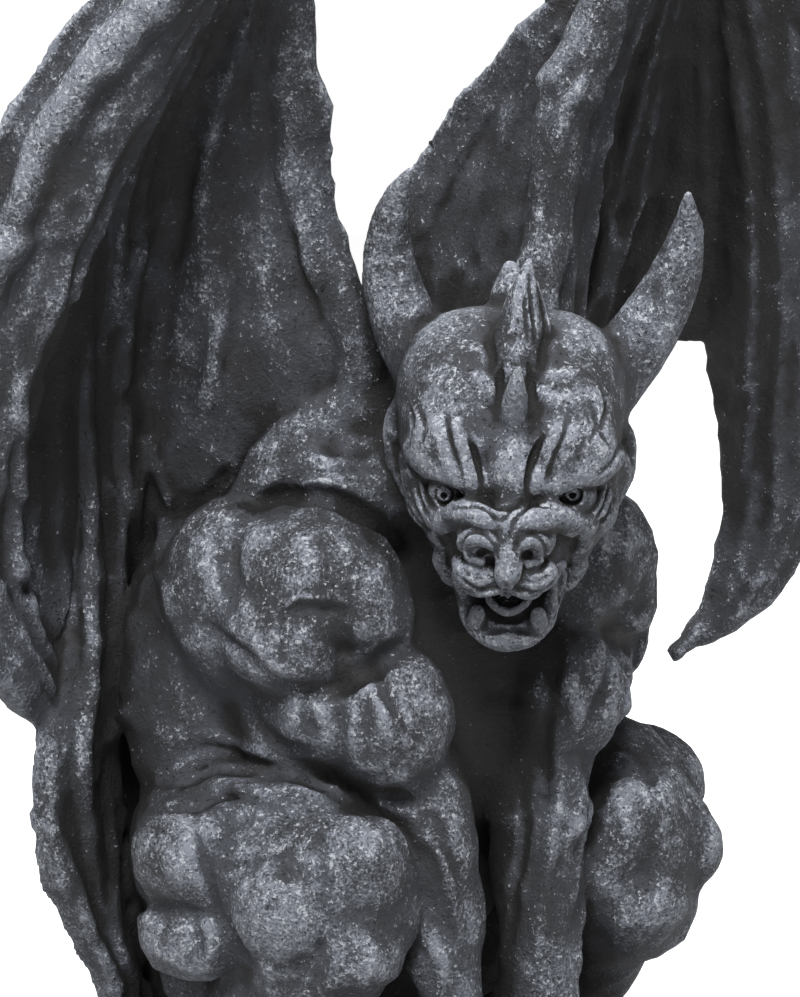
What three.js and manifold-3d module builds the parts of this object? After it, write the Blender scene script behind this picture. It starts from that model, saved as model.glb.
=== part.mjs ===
// A crouching winged gargoyle, cast in one piece with the low rock that it squats on.
// Millimetres, +Z up. The figure faces -Y and turns its head to its own right, towards -X.
// The origin is the middle of the flat underside of the rock.
import * as THREE from "three";
import { mergeVertices } from "three/addons/utils/BufferGeometryUtils.js";
import Module from "manifold-3d";

const wasm = await Module();
wasm.setup();

// Driving dimensions
const figureHeight = 550; // from the top of the rock to the wing wrists' claws
const rockThickness = 28;
const rockMargin = 20; // rock left bare outside the feet, all round
const rockBevel = 7;
const rockSides = 18;
const membraneThickness = 7;
const armBoneRadius = 9;
const fingerBoneRadius = 7;
const headYaw = -36; // degrees, towards the figure's right
const headPitch = 16; // degrees, bowed
const headRoll = 2;
const leftShoulderTuck = 12; // the left arm is drawn in closer than the right one

// The figure is drawn at a height of 550, so its forms keep their shares at any height.
const drawnHeight = 550;
const scale = figureHeight / drawnHeight;
const mirrorX = new THREE.Matrix4().makeScale(-1, 1, 1);
const sides = [-1, 1]; // the figure's right is -1
const degrees = THREE.MathUtils.degToRad;

// Joins and placing

function solidOf(geometry) {
  const bare = geometry.clone();
  bare.deleteAttribute("normal");
  bare.deleteAttribute("uv");
  const merged = mergeVertices(bare, 1e-4);
  const triVerts = new Uint32Array(merged.index.array);
  const vertProperties = merged.attributes.position.array;
  return new wasm.Manifold(new wasm.Mesh({ numProp: 3, vertProperties, triVerts }));
}

function geometryOf(solid) {
  const { vertProperties, triVerts } = solid.getMesh();
  const geometry = new THREE.BufferGeometry();
  geometry.setAttribute("position", new THREE.BufferAttribute(vertProperties.slice(), 3));
  geometry.setIndex(new THREE.BufferAttribute(triVerts, 1));
  geometry.computeVertexNormals();
  return geometry;
}

// A mirrored copy, with each face turned back to point out.
function mirrored(geometry) {
  const copy = geometry.clone().applyMatrix4(mirrorX);
  const index = copy.index.array;
  for (let i = 0; i < index.length; i += 3) {
    [index[i + 1], index[i + 2]] = [index[i + 2], index[i + 1]];
  }
  return copy;
}

function pair(geometries) {
  return geometries.flatMap((geometry) => [geometry, mirrored(geometry)]);
}

// Forms

// A muscle or a lump: an ellipsoid of three half sizes, turned in degrees about X, Y and Z.
function lump(at, half, turn = [0, 0, 0], around = 7, down = 4) {
  const geometry = new THREE.SphereGeometry(1, around, down);
  geometry.rotateX(Math.PI / 2);
  geometry.scale(...half);
  geometry.applyMatrix4(new THREE.Matrix4().makeRotationFromEuler(new THREE.Euler(...turn.map(degrees))));
  return geometry.translate(...at);
}

function closedGeometry(points, faces) {
  const geometry = new THREE.BufferGeometry();
  geometry.setAttribute("position", new THREE.Float32BufferAttribute(points.flatMap((p) => [p.x, p.y, p.z]), 3));
  geometry.setIndex(faces.flat());
  return geometry;
}

function curveThrough(path) {
  return new THREE.CatmullRomCurve3(path.map((point) => new THREE.Vector3(...point)), false, "centripetal");
}

function valueAlong(values, t) {
  const place = t * (values.length - 1);
  const low = Math.min(Math.floor(place), values.length - 2);
  return THREE.MathUtils.lerp(values[low], values[low + 1], place - low);
}

// A limb, horn, rib or claw: rings of changing radius along a curve, closed by blunt ends.
function limb(path, radii, { around = 6, steps = 4, flat = 1, across = [1, 0, 0], blunt = 0.5 } = {}) {
  const curve = curveThrough(path);
  const points = [];
  const faces = [];
  const wide = new THREE.Vector3(...across);
  for (let i = 0; i <= steps; i++) {
    const t = i / steps;
    const tangent = curve.getTangent(t);
    const side = wide.clone().addScaledVector(tangent, -wide.dot(tangent)).normalize();
    const up = new THREE.Vector3().crossVectors(tangent, side);
    const radius = valueAlong(radii, t);
    const centre = curve.getPoint(t);
    for (let j = 0; j < around; j++) {
      const angle = (2 * Math.PI * j) / around;
      const point = centre.clone();
      point.addScaledVector(side, radius * Math.cos(angle));
      point.addScaledVector(up, radius * flat * Math.sin(angle));
      points.push(point);
    }
  }
  for (let i = 0; i < steps; i++) {
    for (let j = 0; j < around; j++) {
      const next = (j + 1) % around;
      const [a, b, c, d] = [i * around + j, i * around + next, (i + 1) * around + next, (i + 1) * around + j];
      faces.push([a, b, c], [a, c, d]);
    }
  }
  for (const end of [0, 1]) {
    const outward = curve.getTangent(end).multiplyScalar(end ? 1 : -1);
    points.push(curve.getPoint(end).addScaledVector(outward, blunt * valueAlong(radii, end)));
    const apex = points.length - 1;
    const first = end * steps * around;
    for (let j = 0; j < around; j++) {
      const next = (j + 1) % around;
      faces.push(end ? [first + j, first + next, apex] : [first + next, first + j, apex]);
    }
  }
  return closedGeometry(points, faces);
}

// A wing web slung across two or more bones: thick along each bone, thin and bellied between them.
function web(paths, { rows, between = 1, sag = 0.08, bones = paths.map(() => fingerBoneRadius) }) {
  const curves = paths.map(curveThrough);
  const columns = (curves.length - 1) * (between + 1);
  const count = (rows + 1) * (columns + 1);
  const front = [];
  const back = [];
  for (let i = 0; i <= rows; i++) {
    const t = i / rows;
    for (let j = 0; j <= columns; j++) {
      const left = Math.min(Math.floor(j / (between + 1)), curves.length - 2);
      const s = j / (between + 1) - left;
      const [curveA, curveB] = [curves[left], curves[left + 1]];
      const [a, b] = [curveA.getPoint(t), curveB.getPoint(t)];
      const span = b.clone().sub(a);
      const along = curveA.getTangent(t).add(curveB.getTangent(t));
      const normal = new THREE.Vector3().crossVectors(along, span).normalize();
      const onBone = s === 0 || s === 1;
      const thick = onBone ? bones[left + s] : membraneThickness / 2;
      const belly = sag * span.length() * 4 * s * (1 - s);
      const middle = a.clone().addScaledVector(span, s).addScaledVector(normal, belly);
      front.push(middle.clone().addScaledVector(normal, thick));
      back.push(middle.clone().addScaledVector(normal, -thick));
    }
  }
  const faces = [];
  const corner = (i, j) => i * (columns + 1) + j;
  for (let i = 0; i < rows; i++) {
    for (let j = 0; j < columns; j++) {
      const [a, b, c, d] = [corner(i, j), corner(i, j + 1), corner(i + 1, j + 1), corner(i + 1, j)];
      faces.push([a, c, b], [a, d, c]);
      faces.push([count + a, count + b, count + c], [count + a, count + c, count + d]);
    }
  }
  const rim = [];
  for (let j = 0; j < columns; j++) rim.push(corner(0, j));
  for (let i = 0; i < rows; i++) rim.push(corner(i, columns));
  for (let j = columns; j > 0; j--) rim.push(corner(rows, j));
  for (let i = rows; i > 0; i--) rim.push(corner(i, 0));
  rim.forEach((a, i) => {
    const b = rim[(i + 1) % rim.length];
    faces.push([a, b, count + b], [a, count + b, count + a]);
  });
  return closedGeometry([...front, ...back], faces);
}

// The body: drawn with the top of the rock at z = 28

const torso = [
  lump([0, 84, 96], [56, 44, 42]), // pelvis
  lump([0, 46, 142], [46, 46, 52], [25, 0, 0]), // belly
  lump([0, 24, 206], [60, 50, 58], [20, 0, 0], 8, 6), // ribs
  lump([0, 30, 258], [68, 46, 42], [0, 0, 0], 8, 5), // hunched upper back
  limb([[0, 40, 280], [0, 10, 308], [-3, -30, 312]], [44, 38, 32], { around: 8, steps: 2 }), // neck
  ...pair([
    lump([28, -14, 236], [30, 24, 28]), // chest
    lump([64, 46, 208], [28, 38, 54], [15, 0, 0]), // side of the back
    lump([50, 84, 146], [26, 34, 38]), // flank
    limb([[12, 6, 334], [38, 18, 328], [66, 20, 302]], [21, 21, 22], { steps: 3, across: [0, 1, 0] }),
  ]),
];

const spineBumps = 5;
const spineCurve = curveThrough([[0, 50, 322], [0, 70, 285], [0, 74, 240], [0, 74, 195], [0, 96, 150], [0, 120, 120]]);
const spine = [];
for (let i = 0; i < spineBumps; i++) {
  const at = spineCurve.getPoint(i / (spineBumps - 1));
  spine.push(lump([at.x, at.y, at.z], [9, 9, 11], [0, 0, 0], 5, 3));
}

const arm = [
  lump([66, -5, 268], [33, 32, 38], [0, 12, 0], 9, 6), // front of the shoulder
  lump([84, 24, 258], [28, 31, 36], [0, 10, 0]), // back of the shoulder
  lump([46, -24, 220], [27, 26, 32], [0, 14, 0], 8, 5), // biceps
  lump([60, 8, 218], [28, 28, 36], [0, 20, 0], 6, 4), // triceps
  limb([[40, -12, 205], [31, -22, 182], [25, -28, 150], [20, -29, 108], [22, -32, 60]], [24, 21, 17, 13, 14], {
    around: 6,
    steps: 5,
  }),
  lump([30, -32, 166], [13, 13, 30], [0, 8, 0], 5, 4), // outer forearm
];
const arms = [...arm.map(mirrored), ...arm.map((form) => form.clone().translate(-leftShoulderTuck, 0, 0))];

const legs = pair([
  lump([52, 90, 100], [38, 42, 42]), // buttock
  limb([[52, 84, 116], [76, 40, 158], [74, -6, 152]], [38, 42, 38], { around: 7, steps: 3 }), // thigh
  lump([74, -20, 149], [36, 31, 42], [0, 0, 0], 9, 6), // knee
  lump([74, -40, 146], [19, 14, 20], [0, 0, 0], 5, 4), // kneecap
  limb([[74, -8, 122], [82, 20, 92], [84, 42, 50]], [22, 20, 16], { around: 7, steps: 3 }), // shin
  lump([84, 52, 108], [18, 26, 24], [0, 0, 0], 5, 4), // calf pressed out under the thigh
]);

// A clawed digit that arches from the paw and comes down on the rock.
function digit([x, y], heading, length, thick) {
  const turn = degrees(heading);
  const reach = (share, z) => [x + Math.sin(turn) * length * share, y - Math.cos(turn) * length * share, z];
  const ground = rockThickness / scale;
  const path = [reach(0, ground + 12), reach(0.45, ground + 14), reach(0.85, ground + 8), reach(1.25, ground + 0.5)];
  return limb(path, [thick, thick, thick * 0.8, 1.2], {
    around: 4,
    steps: 2,
    across: [Math.cos(turn), Math.sin(turn), 0],
  });
}

const paws = pair([
  lump([23, -40, 42], [19, 22, 15], [0, 0, 0], 6, 4), // hand
  ...[-24, -4, 16, 38].map((heading, i) => digit([14 + 7 * i, -48 + 2 * i], heading, 26, 5.5)),
  limb([[84, 48, 40], [85, 20, 44], [88, -8, 38]], [15, 14, 15], { around: 7, steps: 2, flat: 0.85 }), // foot
  ...[-18, 4, 28].map((heading, i) => digit([78 + 10 * i, -12], heading, 30, 6.5)),
]);

// The head, drawn about its own centre and facing -Y, then bowed, turned and set on the neck

const headPlace = new THREE.Matrix4()
  .makeTranslation(-3, -47, 309)
  .multiply(new THREE.Matrix4().makeRotationZ(degrees(headYaw)))
  .multiply(new THREE.Matrix4().makeRotationX(degrees(headPitch)))
  .multiply(new THREE.Matrix4().makeRotationY(degrees(headRoll)));

const skull = [
  lump([0, 10, 22], [43, 46, 40], [0, 0, 0], 9, 6),
  lump([0, -34, 20], [26, 22, 22], [0, 0, 0], 7, 5), // middle of the forehead
  lump([0, -30, -10], [28, 26, 24], [0, 0, 0], 7, 4), // upper jaw
  ...pair([
    lump([19, -10, 38], [24, 27, 25], [0, 0, 0], 8, 5), // lobe of the forehead
    limb([[8, -53, 18], [24, -50, 22], [38, -38, 29], [43, -22, 31]], [6.5, 7.5, 7, 5], { around: 5, steps: 3 }), // brow
    lump([26, -40, 11], [8.5, 8, 8.5], [0, 0, 0], 6, 4), // eye
    lump([29, -34, -4], [10, 12, 11], [0, 0, 0], 6, 4), // cheek
    limb([[38, -2, 2], [31, -22, -18], [19, -40, -34]], [10, 8, 6], { around: 5, steps: 3 }), // jaw
    limb([[42, 8, 34], [46, 12, 14], [43, 8, -4]], [7, 7, 4], { around: 5, steps: 2, flat: 0.6, across: [0, 1, 0] }), // ear
  ]),
];

const muzzle = [
  limb([[0, -50, 16], [0, -60, 3], [0, -67, -10]], [8, 9, 8.5], { around: 7, steps: 2 }), // bridge of the nose
  ...pair([
    lump([11, -60, -1], [9, 9, 8], [0, 0, 0], 6, 4), // nostril
    lump([12, -56, -15], [14, 12, 8], [0, 0, 0], 7, 4), // upper lip
    limb([[31, -42, -6], [23, -53, 5], [11, -60, 6]], [5, 5.5, 4], { around: 5, steps: 2 }), // snarl
  ]),
];
const mouth = lump([0, -50, -28], [15, 20, 8], [12, 0, 0], 7, 5);
const lowerJaw = [
  limb([[-19, -34, -30], [-13, -47, -37], [0, -52, -40], [13, -47, -37], [19, -34, -30]], [6, 6, 6.5, 6, 6], {
    around: 5,
    steps: 4,
    across: [0, 0, 1],
  }),
  lump([0, -32, -38], [18, 20, 9], [0, 0, 0], 6, 4),
  ...pair([limb([[12, -46, -37], [12, -48, -30], [11.5, -49, -25]], [4.5, 3.8, 2], { around: 5, steps: 1 })]), // tusk
];

// A spike of the crest, longer from front to back than it is wide.
function spike(foot, tip, radius) {
  const middle = foot.map((value, i) => value * 0.45 + tip[i] * 0.55);
  return limb([foot, middle, tip], [radius, radius * 0.55, 1.4], { around: 5, steps: 2, flat: 1.5 });
}
const crest = [
  spike([0, -28, 44], [0, -33, 67], 7),
  spike([0, -6, 54], [1, -6, 95], 12),
  spike([2, 20, 52], [3, 26, 84], 9),
  spike([0, 42, 40], [0, 54, 60], 7),
];

const hornRadii = [14, 13, 10.5, 7.5, 3];
const horns = [
  limb([[-34, 12, 38], [-47, 20, 60], [-51, 25, 82], [-48, 22, 103], [-43, 16, 119]], hornRadii, { around: 5, steps: 4 }),
  limb([[34, 12, 38], [49, 20, 57], [58, 26, 77], [62, 27, 95], [62, 22, 112]], hornRadii, { around: 5, steps: 4 }),
];

// The wings: arm and finger bones fan down from the wrist, with membranes slung between them

const wrist = [88, -40, 560];
const rearEdge = [wrist, [80, 0, 522], [63, 30, 488], [57, 60, 462], [42, 94, 420], [26, 106, 375], [22, 92, 325]];
const armBone = [wrist, [78, -8, 505], [64, 14, 455], [55, 16, 408], [40, 8, 360], [30, 20, 318]];
const backSeam = [[40, 76, 270], [46, 90, 190], [54, 94, 100], [60, 90, 34]];
const valley = [wrist, [96, 2, 500], [104, 46, 440], [102, 66, 385], [96, 80, 320]];
const valleyFoot = [[98, 94, 255], [96, 100, 180], [90, 96, 100], [84, 90, 34]];
const innerUpper = [wrist, [114, 5, 490], [132, 42, 420], [128, 74, 350]];
const middleUpper = [wrist, [124, -6, 490], [148, 24, 420], [162, 52, 345]];
const foreUpper = [[114, -42, 527], [140, -38, 492], [165, -28, 453], [180, -8, 405], [196, 14, 345]];
const outerEdge = [[126, -44, 520], [160, -18, 495], [186, 2, 450], [199, 10, 400], [200, 16, 345]];
const finger = fingerBoneRadius;
const thin = membraneThickness / 2;

// The left wing's tip hangs free, and the right wing's is swept back against its own inner edge.
const leftTip = {
  innerLower: [[128, 86, 270], [136, 92, 205], [137, 92, 150], [120, 86, 90], [104, 84, 34]],
  middleLower: [[178, 60, 298], [179, 62, 260], [170, 64, 223], [154, 63, 207]],
  foreLower: [[208, 40, 258], [192, 57, 222], [156, 63, 204]],
  innerHem: [],
  middleHem: [],
};
const rightTip = {
  innerLower: [[132, 78, 268], [149, 62, 208], [147, 66, 152], [120, 72, 98], [104, 82, 34]],
  middleLower: [[166, 57, 308], [160, 66, 270], [143, 74, 243], [130, 80, 215]],
  foreLower: [[208, 36, 285], [170, 54, 230], [130, 80, 198]],
  innerHem: [[130, 78, 300], [138, 72, 245]],
  middleHem: [[166, 57, 308], [144, 74, 244]],
};

function wing({ innerLower, middleLower, foreLower, innerHem, middleHem }) {
  const foreFinger = [wrist, ...foreUpper.slice(1), ...foreLower];
  return [
    limb(armBone, [1, 1, 1.3, 1, 1.4, 1.6].map((share) => share * armBoneRadius), { around: 5, steps: 5 }),
    limb(foreFinger, [1.2, 1.1, 1.3, 1, 0.9, 0.8, 0.7, 0.3].map((share) => share * finger), { around: 4, steps: 7 }),
    limb([[84, -36, 550], [88, -46, 566], [82, -58, 576]], [8, 6, 1.2], { around: 5, steps: 2 }), // thumb claw
    web([rearEdge, armBone], { rows: 5, bones: [thin, thin], sag: -0.08 }),
    web([[...armBone, ...backSeam], [...valley, ...valleyFoot], [...innerUpper, ...innerLower]], {
      rows: 6,
      bones: [thin, thin, finger * 0.8],
    }),
    web([[...innerUpper, ...innerHem], [...middleUpper, ...middleHem]], { rows: 4, bones: [thin, thin], sag: 0.12 }),
    web([[...middleUpper, ...middleLower], foreFinger], { rows: 5, bones: [finger * 0.7, thin], sag: 0.12 }),
    web([foreUpper, outerEdge], { rows: 3, between: 0, bones: [thin, thin] }),
  ];
}
const wings = [...wing(leftTip), ...wing(rightTip).map(mirrored)];

// The rock: an uneven slab that reaches out past the feet, flat underneath

function rock() {
  const shape = new THREE.Shape();
  const halfWidth = 104 * scale + rockMargin;
  const halfDepth = 92 * scale + rockMargin;
  const middle = 28 * scale;
  for (let i = 0; i < rockSides; i++) {
    const angle = (2 * Math.PI * i) / rockSides;
    const uneven = 1 + 0.03 * Math.sin(5 * angle + 1) + 0.025 * Math.sin(9 * angle);
    const round = Math.pow(Math.pow(Math.abs(Math.cos(angle)), 3) + Math.pow(Math.abs(Math.sin(angle)), 3), -1 / 3);
    const x = halfWidth * uneven * round * Math.cos(angle);
    const y = middle + halfDepth * uneven * round * Math.sin(angle);
    if (i) shape.lineTo(x, y);
    else shape.moveTo(x, y);
  }
  const geometry = new THREE.ExtrudeGeometry(shape, {
    depth: rockThickness - 2 * rockBevel,
    bevelThickness: rockBevel,
    bevelSize: rockBevel,
    bevelSegments: 1,
  });
  return geometry.translate(0, 0, rockBevel);
}

// Assembly

function joined(geometries) {
  return wasm.Manifold.union(geometries.map(solidOf));
}

const head = joined([...skull, ...muzzle])
  .subtract(solidOf(mouth))
  .add(joined([...lowerJaw, ...crest, ...horns]));
const headGeometry = geometryOf(head).applyMatrix4(headPlace);
const figure = joined([...torso, ...spine, ...arms, ...legs, ...paws, ...wings, headGeometry]);
const figureGeometry = geometryOf(figure)
  .translate(0, 0, -rockThickness / scale)
  .scale(scale, scale, scale)
  .translate(0, 0, rockThickness);

// The cast is solid, so a bubble sealed between forms that only just meet is filled.
const bodies = joined([figureGeometry, rock()]).decompose();
const whole = wasm.Manifold.union(bodies.filter((body) => body.volume() > 0));

const stone = new THREE.MeshStandardMaterial({ color: 0x3d3e43, roughness: 0.85, metalness: 0 });
const gargoyle = new THREE.Mesh(geometryOf(whole), stone);
gargoyle.name = "gargoyle";

// The origin is the middle of the bounding box's underside.
gargoyle.geometry.computeBoundingBox();
const middle = gargoyle.geometry.boundingBox.getCenter(new THREE.Vector3());
gargoyle.geometry.translate(-middle.x, -middle.y, 0);

const group = new THREE.Group();
group.add(gargoyle);

export default group;
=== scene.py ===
import math

import bpy
import numpy as np
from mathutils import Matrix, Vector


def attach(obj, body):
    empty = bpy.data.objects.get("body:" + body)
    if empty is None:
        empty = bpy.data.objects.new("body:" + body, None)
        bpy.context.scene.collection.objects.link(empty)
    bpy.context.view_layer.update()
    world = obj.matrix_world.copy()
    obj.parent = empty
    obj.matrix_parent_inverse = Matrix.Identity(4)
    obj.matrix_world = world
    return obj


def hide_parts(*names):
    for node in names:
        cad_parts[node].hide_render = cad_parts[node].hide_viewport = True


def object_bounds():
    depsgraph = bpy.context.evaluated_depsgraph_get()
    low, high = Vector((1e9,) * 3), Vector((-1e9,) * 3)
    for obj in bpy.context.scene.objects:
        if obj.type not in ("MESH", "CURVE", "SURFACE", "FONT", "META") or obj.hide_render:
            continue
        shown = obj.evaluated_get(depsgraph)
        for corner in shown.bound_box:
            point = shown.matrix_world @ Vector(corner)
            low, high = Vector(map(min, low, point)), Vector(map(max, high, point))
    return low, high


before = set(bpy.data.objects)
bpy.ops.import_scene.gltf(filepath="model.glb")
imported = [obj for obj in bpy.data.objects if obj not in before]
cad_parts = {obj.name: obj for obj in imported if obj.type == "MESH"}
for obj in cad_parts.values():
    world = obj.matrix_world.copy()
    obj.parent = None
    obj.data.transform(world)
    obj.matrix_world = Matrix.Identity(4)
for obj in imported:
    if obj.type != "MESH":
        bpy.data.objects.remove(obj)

import openvdb
from mathutils import Euler, Matrix, Vector

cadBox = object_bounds()
mm = 0.001
print("frame loaded")

# The forms are drawn in millimetres with the rock's underside at z = 0, facing -Y.
figure = {
    "shiftY": -19.315,  # puts the drawing's middle on the frame's origin
    "bodyTriangles": 136000,
    "headTriangles": 60000,
    "underside": 2.2,  # what lies lower than this is pressed flat
}

camera = {
    "azimuth": -33.5,
    "elevation": 9.5,
    "distance": 1370,
    "target": (0, -20, 290),
    "pixelsPerMm": 2.573,  # at the target's distance
    "axisPixel": (482, 520),  # where the target shows in the 800 x 997 photograph
    "imageSize": (800, 997),
}


# Camera

def cameraBasis():
    azimuth, elevation = math.radians(camera["azimuth"]), math.radians(camera["elevation"])
    level = math.cos(elevation)
    back = Vector((math.sin(azimuth) * level, -math.cos(azimuth) * level, math.sin(elevation)))
    right = Vector((math.cos(azimuth), math.sin(azimuth), 0))
    return back, right, back.cross(right)


viewBack, viewRight, viewUp = cameraBasis()
viewPoint = Vector(camera["target"]) + viewBack * camera["distance"]


def pixelRay(px, py):
    across = (px - camera["axisPixel"][0]) / camera["pixelsPerMm"]
    down = (py - camera["axisPixel"][1]) / camera["pixelsPerMm"]
    through = Vector(camera["target"]) + viewRight * across - viewUp * down
    return (through - viewPoint).normalized()


def addCamera():
    bpy.ops.object.select_all(action="DESELECT")
    bpy.ops.object.camera_add()
    made = bpy.context.object
    made.name = "photoCamera"
    width, height = camera["imageSize"]
    focalPixels = camera["pixelsPerMm"] * camera["distance"]
    made.data.lens = focalPixels / height * made.data.sensor_width
    made.data.clip_end = 20
    made.location = (viewPoint + Vector((0, figure["shiftY"], 0))) * mm
    aim = pixelRay(width / 2, height / 2)
    made.rotation_euler = aim.to_track_quat("-Z", "Y").to_euler()
    bpy.context.scene.camera = made


addCamera()
print("camera set")


# Forms

def meshObject(name, points, faces):
    mesh = bpy.data.meshes.new(name)
    mesh.from_pydata([tuple(p) for p in points], [], faces)
    mesh.update()
    made = bpy.data.objects.new(name, mesh)
    bpy.context.collection.objects.link(made)
    return made


def selectOnly(*chosen):
    bpy.ops.object.select_all(action="DESELECT")
    for item in chosen:
        item.select_set(True)
    bpy.context.view_layer.objects.active = chosen[0]


def segmentPoint(p0, p1, p2, p3, t):
    knots = [0.0]
    for a, b in ((p0, p1), (p1, p2), (p2, p3)):
        knots.append(knots[-1] + max(np.linalg.norm(b - a), 1e-6) ** 0.5)
    t0, t1, t2, t3 = knots
    u = t1 + (t2 - t1) * t
    a1 = (t1 - u) / (t1 - t0) * p0 + (u - t0) / (t1 - t0) * p1
    a2 = (t2 - u) / (t2 - t1) * p1 + (u - t1) / (t2 - t1) * p2
    a3 = (t3 - u) / (t3 - t2) * p2 + (u - t2) / (t3 - t2) * p3
    b1 = (t2 - u) / (t2 - t0) * a1 + (u - t0) / (t2 - t0) * a2
    b2 = (t3 - u) / (t3 - t1) * a2 + (u - t1) / (t3 - t1) * a3
    return (t2 - u) / (t2 - t1) * b1 + (u - t1) / (t2 - t1) * b2


# A smooth curve through a path, sampled at even shares of its points.
def curveThrough(path, count):
    path = np.array(path, float)
    path = np.vstack([2 * path[0] - path[1], path, 2 * path[-1] - path[-2]])
    segments = len(path) - 3
    made = []
    for share in np.linspace(0, 1, count):
        place = min(share * segments, segments - 1e-9)
        low = int(place)
        made.append(segmentPoint(*path[low:low + 4], place - low))
    return np.array(made)


def tangents(points):
    along = np.gradient(points, axis=0)
    return along / np.linalg.norm(along, axis=1, keepdims=True)


def unit(v):
    return v / np.maximum(np.linalg.norm(v, axis=-1, keepdims=True), 1e-9)


# A wing web slung across bones: thick along each bone, bellied between them and pleated.
# folds lists (place across the web, height, width) for pleats that fan down from the wrist.
def web(paths, rows=70, between=18, sag=0.08, bones=None, thin=3.4, folds=()):
    curves = [curveThrough(path, rows + 1) for path in paths]
    bones = bones or [thin] * len(paths)
    spans = len(curves) - 1
    columns = spans * between
    front, back = [], []
    for j in range(columns + 1):
        left = min(j // between, spans - 1)
        s = j / between - left
        a, b = curves[left], curves[left + 1]
        span = b - a
        width = np.linalg.norm(span, axis=1, keepdims=True)
        normal = unit(np.cross(tangents(a) + tangents(b), span))
        nearest = min(s, 1 - s)
        boneThick = bones[left] if s < 0.5 else bones[left + 1]
        closeness = np.exp(-((nearest * width) / max(boneThick * 1.3, 1)) ** 2)
        thick = thin + (boneThick - thin) * closeness
        lift = sag * width * 4 * s * (1 - s)
        for place, height, spread in folds:
            lift = lift + height * np.minimum(1, width / 24) * math.exp(-(((left + s) - place) / spread) ** 2)
        middle = a + span * s + normal * lift
        front.append(middle + normal * thick)
        back.append(middle - normal * thick)
    points = np.array(front + back).reshape(-1, 3)
    stride = rows + 1
    count = (columns + 1) * stride
    faces = []
    for j in range(columns):
        for i in range(rows):
            a, b, c, d = j * stride + i, (j + 1) * stride + i, (j + 1) * stride + i + 1, j * stride + i + 1
            faces.append((a, d, c, b))
            faces.append((count + a, count + b, count + c, count + d))
    rim = [j * stride for j in range(columns)] + [columns * stride + i for i in range(rows)]
    rim += [j * stride + rows for j in range(columns, 0, -1)] + [i for i in range(rows, 0, -1)]
    for n, a in enumerate(rim):
        b = rim[(n + 1) % len(rim)]
        faces.append((a, b, count + b, count + a))
    return meshObject("web", points, faces)


def applied(item, kind, **settings):
    modifier = item.modifiers.new(kind.lower(), kind)
    for key, value in settings.items():
        setattr(modifier, key, value)
    selectOnly(item)
    bpy.ops.object.modifier_apply(modifier=modifier.name)


# Clay: a block of distances to the surface, in millimetres, that forms are pressed onto and cut from.
# Soft is the width over which a form melts into what it touches.

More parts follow.
